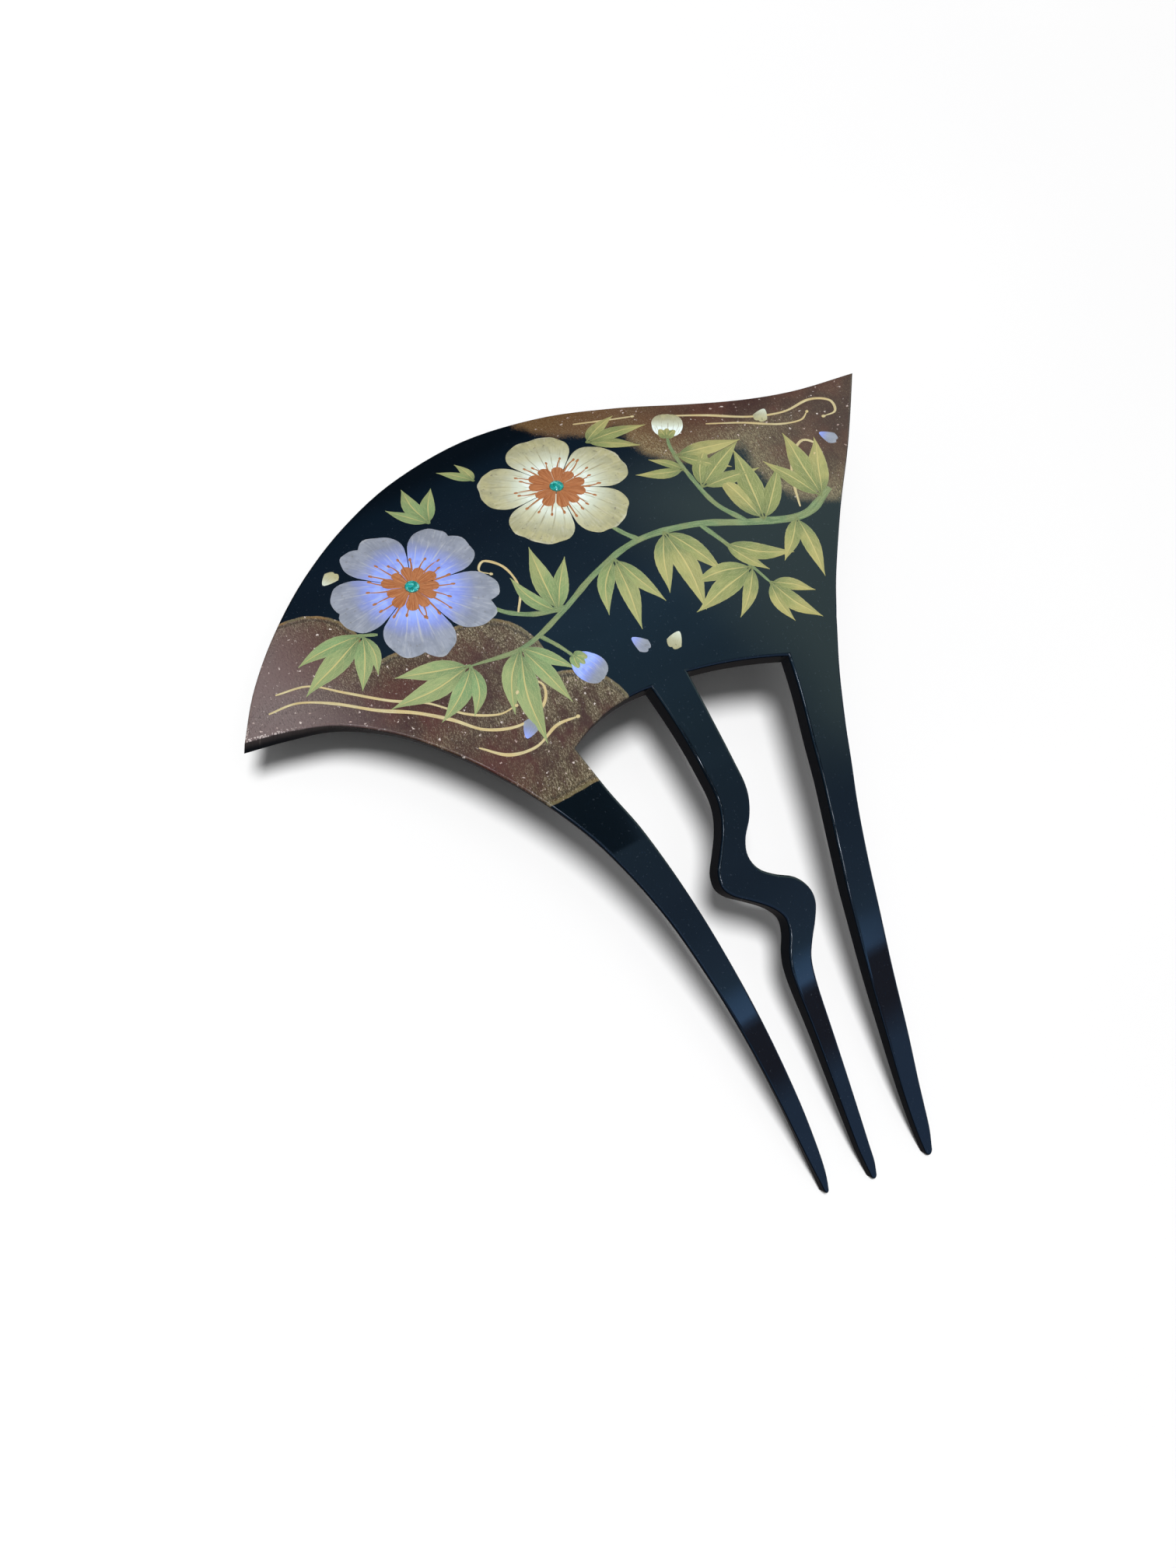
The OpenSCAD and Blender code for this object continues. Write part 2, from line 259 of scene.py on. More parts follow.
    out2 = -inw/np.linalg.norm(inw, axis=1)[:, None]

    def face_out(q, h):
        d = bend(q[:, 0] + out2[:, 0]*1e-3, q[:, 1] + out2[:, 1]*1e-3, h) - bend(q[:, 0], q[:, 1], h)
        return d/np.linalg.norm(d, axis=1)[:, None]

    tp = thick(Q[:, 1])
    V = [bend(P[:, 0], P[:, 1], 0.0), bend(Q[:, 0], Q[:, 1], -tp)]
    Nn = [face_up(P, 0.0), -face_up(Q, -tp)]
    L = [np.c_[P, np.zeros(NF)], np.c_[Q, np.ones(NF)]]
    # how far the wall leans in underneath, as an angle
    lean = np.arctan2(slope, np.maximum(thick(O[:, 1]) - 2*rm, 0.5))
    tg = [math.pi/2*g/K for g in range(K + 1)]
    for g in range(1, K + 1):
        q = ring(1 - math.sin(tg[g]))
        h = -rim(q[:, 1])*(1 - math.cos(tg[g]))
        V.append(bend(q[:, 0], q[:, 1], h))
        f = tg[g] + lean*(g/K)**2
        Nn.append(np.cos(f)[:, None]*face_up(q, h) + np.sin(f)[:, None]*face_out(q, h))
        L.append(np.c_[q, np.full(n, 0.35*g/K)])
    for g in range(K, 0, -1):
        q = ring(1 - math.sin(tg[g]), 1)
        h = rim(q[:, 1])*(1 - math.cos(tg[g])) - thick(q[:, 1])
        V.append(bend(q[:, 0], q[:, 1], h))
        f = tg[g] - lean*(g/K)**2
        Nn.append(-np.cos(f)[:, None]*face_up(q, h) + np.sin(f)[:, None]*face_out(q, h))
        L.append(np.c_[q, np.full(n, 1 - 0.35*g/K)])
    last = 2*K + 1
    lid = lambda g, i: (ID[i % n] if g == 0 else NF + ID[i % n] if g == last else 2*NF + (g-1)*n + i % n)
    faces = [tuple(reversed(q)) for q in quads] + [tuple(NF + v for v in q) for q in quads]
    for g in range(1, last + 1):
        for i in range(n):
            faces.append((lid(g-1, i+1), lid(g, i+1), lid(g, i), lid(g-1, i)))
    return np.concatenate(V), faces, np.concatenate(L), np.concatenate(Nn)


def turned(P, pitch, roll=ROLL):
    c, s = math.cos(math.radians(roll)), math.sin(math.radians(roll))
    x = P[..., 0]*c + P[..., 2]*s
    z = P[..., 2]*c - P[..., 0]*s
    y = P[..., 1]
    c, s = math.cos(math.radians(pitch)), math.sin(math.radians(pitch))
    return np.stack([x, y*c - z*s, y*s + z*c], -1)


def lying():
    """Pitch and shift with which the comb lies on its points and fan edge, as in the CAD."""
    P0 = plate()[0]
    lo, hi = -5.0, 15.0
    for _ in range(16):
        a = (lo + hi)/2
        z = turned(P0, a)[:, 2]
        if z[P0[:, 1] > 30].min() < z[P0[:, 1] < -30].min():
            lo = a
        else:
            hi = a
    a = (lo + hi)/2
    Q = turned(P0, a)
    return a, np.array([-(Q[:, 0].min() + Q[:, 0].max())/2, -(Q[:, 1].min() + Q[:, 1].max())/2, -Q[:, 2].min()])


PITCH, SHIFT = lying()


def row_frame(P):
    """Unposed mm to metres in the row frame."""
    return (turned(np.asarray(P, float), PITCH) + SHIFT)*MM


def surf(x, s, h):
    return row_frame(bend(x, s, h))

# ---------------------------------------------------------------- node helper

class Nodes:
    """Short calls that make material nodes and join them."""

    def __init__(self, tree):
        self.t = tree
        tree.nodes.clear()

    def put(self, kind, **props):
        n = self.t.nodes.new(kind)
        for k, v in props.items():
            setattr(n, k, v)
        return n

    def link(self, socket, v):
        if isinstance(v, bpy.types.NodeSocket):
            self.t.links.new(v, socket)
        elif isinstance(v, (tuple, list)) and len(v) == 3 and socket.type == "RGBA":
            socket.default_value = (*v, 1.0)
        else:
            socket.default_value = v

    def m(self, op, a, b=None, c=None, clamp=False):
        n = self.put("ShaderNodeMath", operation=op, use_clamp=clamp)
        for s, v in zip(n.inputs, (a, b, c)):
            if v is not None:
                self.link(s, v)
        return n.outputs[0]

    def v(self, op, a, b=None, c=None, scale=None):
        n = self.put("ShaderNodeVectorMath", operation=op)
        for s, x in zip(n.inputs, (a, b, c)):
            if x is not None:
                self.link(s, x)
        if scale is not None:
            self.link(n.inputs["Scale"], scale)
        return n.outputs["Value"] if op in ("LENGTH", "DOT_PRODUCT", "DISTANCE") else n.outputs["Vector"]

    def attr(self, name):
        n = self.put("ShaderNodeAttribute", attribute_type="GEOMETRY", attribute_name=name)
        return n.outputs["Vector"]

    def xyz(self, v):
        n = self.put("ShaderNodeSeparateXYZ")
        self.link(n.inputs[0], v)
        return n.outputs

    def join(self, x, y, z=0.0):
        n = self.put("ShaderNodeCombineXYZ")
        for s, v in zip(n.inputs, (x, y, z)):
            self.link(s, v)
        return n.outputs[0]

    def step(self, x, a, b):
        """0 at a, 1 at b, smooth between; a may be above b."""
        n = self.put("ShaderNodeMapRange", interpolation_type="SMOOTHSTEP")
        lo, hi = (a, b) if a < b else (b, a)
        self.link(n.inputs["Value"], x)
        n.inputs["From Min"].default_value = lo
        n.inputs["From Max"].default_value = hi
        n.inputs["To Min"].default_value = 0.0 if a < b else 1.0
        n.inputs["To Max"].default_value = 1.0 if a < b else 0.0
        return n.outputs[0]

    def near(self, x, at_, width):
        """1 where x is at_, falling to 0 at width to either side."""
        return self.step(self.m("ABSOLUTE", self.m("SUBTRACT", x, at_)), width, 0.0)

    def mix(self, f, a, b, kind="MIX"):
        n = self.put("ShaderNodeMix", data_type="RGBA", blend_type=kind)
        n.clamp_factor = True
        self.link(n.inputs[0], f)
        self.link(n.inputs[6], a)
        self.link(n.inputs[7], b)
        return n.outputs[2]

    def mixf(self, f, a, b):
        n = self.put("ShaderNodeMix", data_type="FLOAT")
        self.link(n.inputs[0], f)
        self.link(n.inputs[2], a)
        self.link(n.inputs[3], b)
        return n.outputs[0]

    def ramp(self, f, stops, smooth=False):
        n = self.put("ShaderNodeValToRGB")
        r = n.color_ramp
        r.interpolation = "EASE" if smooth else "LINEAR"
        while len(r.elements) < len(stops):
            r.elements.new(0.5)
        for e, (p, c) in zip(r.elements, stops):
            e.position = p
        for e, (p, c) in zip(r.elements, stops):
            e.position = p
            e.color = (*c, 1.0) if len(c) == 3 else c
        self.link(n.inputs[0], f)
        return n.outputs[0]

    def noise(self, vec, scale, detail=2.0, rough=0.5, dist=0.0, colour=False, dims="2D"):
        n = self.put("ShaderNodeTexNoise", noise_dimensions=dims)
        self.link(n.inputs["Vector"], vec)
        n.inputs["Scale"].default_value = scale
        n.inputs["Detail"].default_value = detail
        n.inputs["Roughness"].default_value = rough
        n.inputs["Distortion"].default_value = dist
        return n.outputs["Color" if colour else "Fac"]

    def cells(self, vec, scale, jitter=1.0, feature="F1", dims="2D"):
        n = self.put("ShaderNodeTexVoronoi", voronoi_dimensions=dims, feature=feature)
        self.link(n.inputs["Vector"], vec)
        n.inputs["Scale"].default_value = scale
        n.inputs["Randomness"].default_value = jitter
        return n.outputs["Distance"], n.outputs["Color"]

    def bump(self, height, strength=1.0, distance=1.0, normal=None):
        n = self.put("ShaderNodeBump")
        n.inputs["Strength"].default_value = strength
        n.inputs["Distance"].default_value = distance
        self.link(n.inputs["Height"], height)
        if normal is not None:
            self.link(n.inputs["Normal"], normal)
        return n.outputs[0]

    def surface(self, **inputs):
        p = self.put("ShaderNodeBsdfPrincipled")
        for k, v in inputs.items():
            self.link(p.inputs[k.replace("_", " ")], v)
        o = self.put("ShaderNodeOutputMaterial")
        self.t.links.new(p.outputs[0], o.inputs[0])
        return p


def material(name):
    m = bpy.data.materials.new(name)
    m.use_nodes = True
    return m, Nodes(m.node_tree)


def capsule(k, p, a, b, r):
    """Signed distance, in mm, from p to a bar with round ends."""
    pa = k.v("SUBTRACT", p, (a[0], a[1], 0.0))
    ba = (b[0] - a[0], b[1] - a[1], 0.0)
    h = k.m("DIVIDE", k.v("DOT_PRODUCT", pa, ba), ba[0]**2 + ba[1]**2, clamp=True)
    return k.m("SUBTRACT", k.v("LENGTH", k.v("SUBTRACT", pa, k.v("SCALE", ba, scale=h))), r)


def bars(k, p, table, soft):
    d = None
    for a, b, r in table:
        e = capsule(k, p, a, b, r)
        d = e if d is None else k.m("SMOOTH_MIN", d, e, soft)
    return d


# Bars of mist: (one end), (other end), half width
MIST_LOW = [
    ((-62, 40.0), (-36.5, 37.5), 6.4), ((-62, 27), (-18.6, 25.6), 7.2), ((-45, 14.0), (-12.4, 14.6), 7.0)]
MIST_HIGH = [
    ((75, 62.0), (17.5, 61.0), 9.6), ((75, 47.0), (25.0, 46.8), 7.2), ((75, 34.0), (37.0, 34.2), 8.2)]

BLACK = (0.0012, 0.0030, 0.0058)


def make_lacquer():
    """Near-black lacquer with bands of red-brown mist, dusted with gold along their borders, under a clear polished coat."""
    mat, k = material("lacquer_painted")
    x, s, layer = k.xyz(k.attr("flat"))
    p = k.join(x, s)
    top = k.step(layer, 0.60, 0.36)
    # the brush ran nearly along the comb: hatching, coarser streaks, and slow changes of tone
    lean = k.m("ADD", x, k.m("MULTIPLY", s, -0.16))
    hatch = k.noise(k.join(k.m("MULTIPLY", lean, 2.5), k.m("MULTIPLY", s, 1.05)), 2.0, 2.0, 0.72)
    streak = k.noise(k.join(lean, k.m("MULTIPLY", s, 0.12)), 3.4, 2.0, 0.62)
    grain = k.noise(k.join(k.m("MULTIPLY", lean, 1.9), s), 4.4, 1.0, 0.80)
    cloudy = k.noise(k.join(k.m("MULTIPLY", lean, 1.3), k.m("MULTIPLY", s, 0.6)), 0.62, 2.0, 0.6)
    blotch = k.noise(p, 0.15, 2.0, 0.55)
    wave = k.m("MULTIPLY", k.m("SUBTRACT", k.noise(p, 0.55, 1.0, 0.5), 0.5), 0.9)
    low = k.m("ADD", bars(k, p, MIST_LOW, 2.2), k.m("MULTIPLY", wave, 0.35))
    high = k.m("ADD", bars(k, p, MIST_HIGH, 3.0), wave)
    in_low = k.step(low, 0.06, -0.06)
    in_high = k.step(k.m("ADD", high, k.m("MULTIPLY", k.m("SUBTRACT", hatch, 0.5), 2.2)), 0.95, -0.75)

    def dust(border, reach, floor_, streaks):
        """How thickly the gold lies: thick along the border, thinning out inwards."""
        d = k.m("POWER", 2.718, k.m("DIVIDE", border, reach))
        d = k.m("ADD", k.m("MULTIPLY", d, 1.05), floor_)
        d = k.m("ADD", d, k.m("MULTIPLY", k.m("SUBTRACT", streak, 0.5), k.m("MULTIPLY", d, streaks)))
        return k.m("ADD", d, k.m("MULTIPLY", k.m("SUBTRACT", cloudy, 0.5), 0.45), clamp=True)

    def strewn(ground, dense, tint, pale):
        c = k.mix(k.m("MULTIPLY", dense, 0.72), ground, tint)
        lit = k.step(k.m("ADD", hatch, k.m("MULTIPLY", dense, 0.10)), 0.56, 0.78)
        c = k.mix(k.m("MULTIPLY", lit, k.m("ADD", 0.06, k.m("MULTIPLY", dense, 0.50))), c, pale)
        c = k.mix(k.m("MULTIPLY", k.step(grain, 0.48, 0.30), k.m("MULTIPLY", dense, 0.50)), c, (0.020, 0.011, 0.006))
        c = k.mix(k.m("MULTIPLY", k.step(grain, 0.60, 0.72), k.m("ADD", 0.06, k.m("MULTIPLY", dense, 0.80))), c, pale)
        return k.mix(k.m("MULTIPLY", k.step(hatch, 0.47, 0.26), k.m("ADD", 0.22, k.m("MULTIPLY", dense, 0.40))), c, (0.016, 0.007, 0.005))

    # towards the left corner the mist, its dust and its pale gold are painted paler and greyer: a painted sheen of
    # glancing light
    painted_corner_sheen = k.step(x, -30.0, -45.0)
    red_low = k.mix(k.step(blotch, 0.36, 0.62), (0.052, 0.0160, 0.0085), (0.082, 0.0230, 0.0125))
    red_low = k.mix(k.m("MULTIPLY", painted_corner_sheen, 0.85), red_low, (0.202, 0.149, 0.140))
    inner = k.step(x, -27.0, -13.0)
    red_low = k.mix(k.m("MULTIPLY", inner, 0.50), red_low, (0.060, 0.030, 0.018))
    dense_low = k.m("ADD", k.m("MULTIPLY", dust(low, 2.5, 0.0, 1.6), 0.88), k.m("MULTIPLY", k.m("MULTIPLY", inner, k.step(cloudy, 0.30, 0.64)), 0.52), clamp=True)
    tint_low = k.mix(painted_corner_sheen, (0.120, 0.094, 0.044), (0.190, 0.150, 0.135))
    col_low = strewn(red_low, dense_low, tint_low, k.mix(painted_corner_sheen, (0.47, 0.40, 0.27), (0.27, 0.21, 0.20)))

    warm = k.step(x, 33.0, 15.0)
    red_high = k.mix(k.step(blotch, 0.38, 0.62), (0.052, 0.0160, 0.0080), (0.086, 0.0280, 0.0150))
    red_high = k.mix(k.m("MULTIPLY", warm, 0.75), red_high, (0.150, 0.070, 0.024))
    upper = k.step(k.m("ADD", s, k.m("MULTIPLY", x, 0.45)), 54.0, 60.0)
    upper = k.m("MAXIMUM", upper, k.m("MULTIPLY", k.step(x, 35.0, 43.0), k.step(s, 28.5, 33.0)))
    dense_high = k.m("ADD", k.m("MULTIPLY", dust(high, 3.4, 0.0, 1.9), k.mixf(upper, 1.0, 0.22)), k.m("MULTIPLY", warm, 0.14), clamp=True)
    tint_high = k.mix(warm, (0.190, 0.158, 0.088), (0.235, 0.158, 0.066))
    col_high = strewn(red_high, dense_high, tint_high, (0.42, 0.36, 0.21))

    # a dull gold line follows the low bars, with a dark one inside it
    line_out = k.near(low, -0.20, 0.28)
    line_in = k.near(k.m("ADD", low, k.m("MULTIPLY", wave, 0.35)), -0.72, 0.30)
    col_low = k.mix(k.m("MULTIPLY", line_in, 0.60), col_low, (0.030, 0.022, 0.012))
    gilt = k.mix(k.step(blotch, 0.42, 0.6), (0.150, 0.132, 0.066), (0.24, 0.140, 0.045))
    col_low = k.mix(k.m("MULTIPLY", line_out, k.mixf(hatch, 0.70, 1.0)), col_low, gilt)

    # loose flakes of gold and shell
    bent_p = k.v("ADD", p, k.v("SCALE", k.v("SUBTRACT", k.noise(p, 3.1, 1.0, 0.5, colour=True), (0.5, 0.5, 0.5)), scale=0.45))

    def flakes(scale, rare, size):
        d, c = k.cells(bent_p, scale)
        r = k.xyz(c)
        return k.m("MULTIPLY", k.step(d, size, size*0.5), k.m("GREATER_THAN", r[0], rare)), r[1]

    big, big_tone = flakes(0.62, 0.66, 0.095)
    small, _ = flakes(1.9, 0.84, 0.15)
    flake = k.m("MAXIMUM", big, k.m("MULTIPLY", small, 0.55))

    # fine dust and hair scratches lie on the dark polish
    scratch = k.m("MULTIPLY", k.step(streak, 0.70, 0.80), k.step(blotch, 0.52, 0.70))
    ground = k.mix(k.m("MULTIPLY", k.m("MAXIMUM", k.m("MULTIPLY", small, 0.5), k.m("MULTIPLY", scratch, 0.25)), 0.30), BLACK, (0.10, 0.13, 0.16))

    face = k.step(layer, 0.34, 0.16)
    shade = k.mixf(face, 0.30, 1.0)
    col = k.mix(in_high, ground, col_high)
    col = k.mix(in_low, col, col_low)
    in_any = k.m("MAXIMUM", in_low, in_high)
    col = k.mix(k.m("MULTIPLY", k.m("MULTIPLY", flake, in_any), 0.85), col, k.mix(big_tone, (0.50, 0.36, 0.31), (0.82, 0.74, 0.68)))
    col = k.mix(shade, BLACK, col)
    col = k.mix(top, BLACK, col)
    # the rim of the left corner is worn, and pale grains painted on it stand for glints of light
    grains, _ = flakes(3.3, 0.20, 0.46)
    rim_ = k.m("MULTIPLY", k.step(layer, 0.01, 0.06), k.step(layer, 0.32, 0.22))
    painted_rim_glint = k.m("MULTIPLY", k.m("MULTIPLY", rim_, k.step(x, -41.0, -46.5)), k.m("MULTIPLY", k.step(s, 33.0, 31.8), grains))
    col = k.mix(k.m("MULTIPLY", painted_rim_glint, 0.90), col, (0.62, 0.54, 0.51))

    rough = k.mixf(k.m("MULTIPLY", in_any, top), 0.30, 0.50)
    ripple = k.m("MULTIPLY", k.noise(p, 0.13, 0.0, 0.4), 1.2e-5)
    k.surface(Base_Color=col, Roughness=rough, Metallic=0.0, Coat_Normal=k.bump(ripple),
              Coat_Weight=1.0, Coat_Roughness=0.035, Coat_IOR=1.5, IOR=1.45, Specular_IOR_Level=0.12)
    return mat


def make_petals(name, tip, mid, glow, hot, vein, vein_strength, glow_reach, spot):
    """Translucent painted petals: u runs outwards from the heart, v across from -1 to 1."""
    mat, k = material(name)
    u, v, seed = k.xyz(k.attr("paint"))
    flat = k.attr("flat")
    x, s, _ = k.xyz(flat)
    p = k.join(x, s)
    av = k.m("ABSOLUTE", v)
    cloud = k.noise(p, 0.45, 2.0, 0.6)
    fibre = k.noise(k.join(k.m("ADD", k.m("MULTIPLY", u, 2.6), k.m("MULTIPLY", seed, 5.7)), k.m("MULTIPLY", v, 10.0)), 1.7, 3.0, 0.68)
    weave = k.m("SUBTRACT", fibre, 0.5)
    reach = k.m("ADD", u, k.m("MULTIPLY", k.m("SUBTRACT", cloud, 0.5), 0.22))
    base = k.mix(k.step(reach, 0.55, 0.95), mid, tip)
    base = k.mix(k.step(reach, glow_reach + 0.16, glow_reach - 0.16), base, glow)
    near_heart = k.m("MULTIPLY", k.step(reach, glow_reach + 0.02, glow_reach - 0.22), k.step(cloud, 0.35, 0.6))
    base = k.mix(near_heart, base, hot)
    # veins fan out from the heart
    lines = None
    for c in (0.0, 0.36, 0.68):
        wob = k.m("MULTIPLY", k.m("SUBTRACT", k.noise(k.join(u, k.m("ADD", seed, 9.0*c)), 3.0, 1.0), 0.5), 0.09)
        at_v = k.m("MULTIPLY", k.m("SUBTRACT", 1.12, k.m("MULTIPLY", k.m("POWER", u, 2.0), 0.28)), c)
        l = k.step(k.m("ABSOLUTE", k.m("SUBTRACT", k.m("ADD", av, wob), at_v)), 0.030, 0.006)
        l = k.m("MULTIPLY", l, k.step(u, 0.96 - 0.25*c, 0.60 - 0.2*c))
        lines = l if lines is None else k.m("MAXIMUM", lines, l)
    lines = k.m("MULTIPLY", lines, k.step(cloud, 0.30, 0.5))
    base = k.mix(k.m("MULTIPLY", lines, vein_strength), base, vein)
    base = k.mix(k.m("MULTIPLY", k.step(weave, 0.02, 0.24), 0.30), base, k.mix(0.5, base, (0.9, 0.9, 0.9)))
    thin = k.m("MULTIPLY", k.step(weave, -0.02, -0.24), k.step(u, 0.30, 0.75))
    base = k.mix(k.m("MULTIPLY", thin, 0.26), base, k.mix(0.5, base, (0.06, 0.07, 0.09)))
    rim_v = k.m("MAXIMUM", k.step(av, 0.955, 0.995), k.step(u, 0.965, 0.995))
    base = k.mix(k.m("MULTIPLY", k.m("MULTIPLY", rim_v, k.step(u, 0.45, 0.6)), 0.45), base, k.mix(0.5, tip, (0.80, 0.80, 0.74)))
    stain = k.m("MULTIPLY", k.step(k.noise(p, 1.7, 3.0, 0.7), 0.60, 0.74), k.step(u, 0.55, 0.9))
    base = k.mix(k.m("MULTIPLY", stain, spot), base, (0.16, 0.14, 0.10))
    # the black ground shows faintly through the thin outer paint
    mottle = k.m("MULTIPLY", k.step(cloud, 0.62, 0.40), k.step(u, 0.35, 0.85))
    base = k.mix(k.m("MULTIPLY", mottle, 0.20), base, (0.07, 0.08, 0.08))
    k.surface(Base_Color=base, Roughness=0.42, Normal=k.bump(k.m("MULTIPLY", fibre, 9e-6)), Coat_Weight=0.8, Coat_Roughness=0.08, Coat_IOR=1.5,
              Specular_IOR_Level=0.3)
    return mat


def make_heart():
    mat, k = material("rust_paint")
    u, v, seed = k.xyz(k.attr("paint"))
    x, s, _ = k.xyz(k.attr("flat"))
    p = k.join(x, s)
    ray = k.noise(k.join(k.m("ADD", k.m("MULTIPLY", u, 0.7), k.m("MULTIPLY", seed, 3.1)), k.m("MULTIPLY", v, 14.0)), 2.2, 2.0, 0.6)
    base = k.mix(k.step(ray, 0.32, 0.68), (0.330, 0.105, 0.030), (0.500, 0.205, 0.080))
    base = k.mix(k.m("MULTIPLY", k.step(u, 0.62, 1.0), 0.5), base, (0.40, 0.165, 0.045))
    base = k.mix(k.m("MULTIPLY", k.step(k.noise(p, 2.2, 2.0), 0.58, 0.72), 0.35), base, (0.24, 0.07, 0.022))
    h = k.m("MULTIPLY", ray, 1.2e-5)
    k.surface(Base_Color=base, Roughness=0.48, Normal=k.bump(h), Coat_Weight=0.7, Coat_Roughness=0.10, Specular_IOR_Level=0.3)
    return mat


def make_leaf():
    """Leaf paint: u from stalk to point, v across; green near the stalk, straw gold towards the point, gold midrib."""
    mat, k = material("leaf_paint")
    u, v, seed = k.xyz(k.attr("paint"))
    x, s, _ = k.xyz(k.attr("flat"))
    p = k.join(x, s)
    av = k.m("ABSOLUTE", v)
    tone = k.noise(k.join(k.m("MULTIPLY", seed, 1.37), 0.3), 7.3, 0.0)
    wash = k.noise(p, 0.38, 2.0, 0.5)
    brush = k.noise(k.join(k.m("ADD", k.m("MULTIPLY", u, 1.8), k.m("MULTIPLY", seed, 4.3)), k.m("MULTIPLY", v, 6.5)), 2.4, 3.0, 0.66)
    right = k.step(x, -22.0, 24.0)
    green = k.mix(right, (0.235, 0.360, 0.150), (0.255, 0.285, 0.092))
    green = k.mix(k.m("MULTIPLY", k.step(tone, 0.45, 0.75), 0.5), green, (0.120, 0.190, 0.080))
    straw = k.mix(right, (0.310, 0.385, 0.160), (0.440, 0.400, 0.140))
    along_ = k.m("ADD", u, k.m("MULTIPLY", k.m("SUBTRACT", wash, 0.5), 0.9))
    along_ = k.m("ADD", along_, k.m("MULTIPLY", k.m("SUBTRACT", tone, 0.5), 1.6))
    base = k.mix(k.step(along_, 0.15, 0.85), green, straw)
    side = k.step(v, -0.02, 0.10)
    base = k.mix(k.m("MULTIPLY", side, 0.34), base, k.mix(0.55, base, (0.075, 0.110, 0.040)))
    base = k.mix(k.m("MULTIPLY", k.step(u, 0.40, 0.05), 0.45), base, (0.085, 0.125, 0.045))
    base = k.mix(k.m("MULTIPLY", k.step(brush, 0.50, 0.70), 0.60), base, k.mix(0.45, base, (0.035, 0.060, 0.025)))
    base = k.mix(k.m("MULTIPLY", k.step(brush, 0.48, 0.26), 0.42), base, (0.50, 0.50, 0.23))
    speck = k.step(k.noise(p, 7.5, 1.0, 0.7), 0.60, 0.72)
    base = k.mix(k.m("MULTIPLY", speck, 0.34), base, (0.60, 0.56, 0.30))
    # side veins
    w = k.m("SUBTRACT", k.m("MULTIPLY", u, 7.0), k.m("MULTIPLY", av, 1.5))
    f = k.m("ABSOLUTE", k.m("SUBTRACT", k.m("FRACT", k.m("ADD", w, seed)), 0.5))
    side_vein = k.m("MULTIPLY", k.step(f, 0.075, 0.015), k.m("MULTIPLY", k.step(av, 0.92, 0.60), k.step(u, 0.96, 0.80)))
    base = k.mix(k.m("MULTIPLY", side_vein, 0.22), base, (0.58, 0.53, 0.24))
    thin = k.m("MULTIPLY", k.step(av, 0.84, 1.0), k.step(brush, 0.35, 0.6))
    base = k.mix(k.m("MULTIPLY", thin, 0.35), base, (0.46, 0.45, 0.24))
    rib_w = k.m("ADD", 0.055, k.m("MULTIPLY", u, 0.030))
    rib = k.m("MULTIPLY", k.m("LESS_THAN", av, rib_w), k.step(u, 0.99, 0.88))
    base = k.mix(k.m("MULTIPLY", rib, 0.75), base, (0.620, 0.530, 0.210))
    h = k.m("ADD", k.m("MULTIPLY", rib, 1.4e-5), k.m("ADD", k.m("MULTIPLY", side_vein, 5e-6), k.m("MULTIPLY", brush, 8e-6)))
    k.surface(Base_Color=base, Roughness=0.40, Normal=k.bump(h), Coat_Weight=0.8, Coat_Roughness=0.08, Specular_IOR_Level=0.3)
    return mat


def make_stroke(name, dark, light, edge_, rough, metal, scale):
    """Brush strokes: u is the length in mm, v across."""
    mat, k = material(name)
    u, v, seed = k.xyz(k.attr("paint"))
    x, s, _ = k.xyz(k.attr("flat"))
    p = k.join(x, s)
    av = k.m("ABSOLUTE", v)
    brush = k.noise(k.join(k.m("ADD", k.m("MULTIPLY", u, 0.22), k.m("MULTIPLY", seed, 6.1)), k.m("MULTIPLY", v, 1.6)), scale, 3.0, 0.6)
    wash = k.noise(p, 0.28, 1.0)
    base = k.mix(k.step(brush, 0.32, 0.68), dark, light)
    base = k.mix(k.m("MULTIPLY", k.step(wash, 0.42, 0.62), 0.45), base, edge_)
    base = k.mix(k.m("MULTIPLY", k.step(av, 0.62, 1.0), 0.35), base, k.mix(0.6, dark, (0.02, 0.02, 0.01)))
    grains = k.noise(p, 9.0, 1.0, 0.6)
    base = k.mix(k.m("MULTIPLY", k.step(grains, 0.5, 0.75), 0.35), base, k.mix(0.5, light, (0.9, 0.85, 0.65)))
    h = k.m("ADD", k.m("MULTIPLY", brush, 9e-6), k.m("MULTIPLY", grains, 4e-6))
    k.surface(Base_Color=base, Roughness=rough, Metallic=metal, Normal=k.bump(h), Coat_Weight=0.7, Coat_Roughness=0.10, Specular_IOR_Level=0.4)
    return mat


def make_shell():
    """Chips of teal shell under a clear dome; their glitter at different slants is painted into the colour as bright
    and dark cells.
    """
    mat, k = material("shell_chips")
    t = k.put("ShaderNodeTexCoord").outputs["Object"]
    p = k.v("SCALE", t, scale=1000.0)
    d, c = k.cells(p, 3.4, dims="3D")
    r, g, b = k.xyz(c)[0:3]
    d2, c2 = k.cells(p, 7.5, dims="3D")
    r2 = k.xyz(c2)[0]
    base = k.mix(r, (0.002, 0.210, 0.165), (0.014, 0.540, 0.450))
    # painted glitter: bright teal and blue cells are painted highlights and reflections of chips at different slants,
    # dark cells painted shade
    base = k.mix(k.m("MULTIPLY", k.step(g, 0.68, 0.9), 0.9), base, (0.20, 0.80, 0.72))
    base = k.mix(k.m("MULTIPLY", k.step(r2, 0.78, 0.9), 0.7), base, (0.015, 0.30, 0.42))
    base = k.mix(k.m("MULTIPLY", k.step(r2, 0.22, 0.10), 0.6), base, (0.001, 0.045, 0.040))
    h = k.m("ADD", k.m("MULTIPLY", r, 6e-5), k.m("MULTIPLY", r2, 2.5e-5))
    k.surface(Base_Color=base, Metallic=0.12, Roughness=0.28, Normal=k.bump(h), Coat_Weight=1.0, Coat_Roughness=0.06)
    return mat


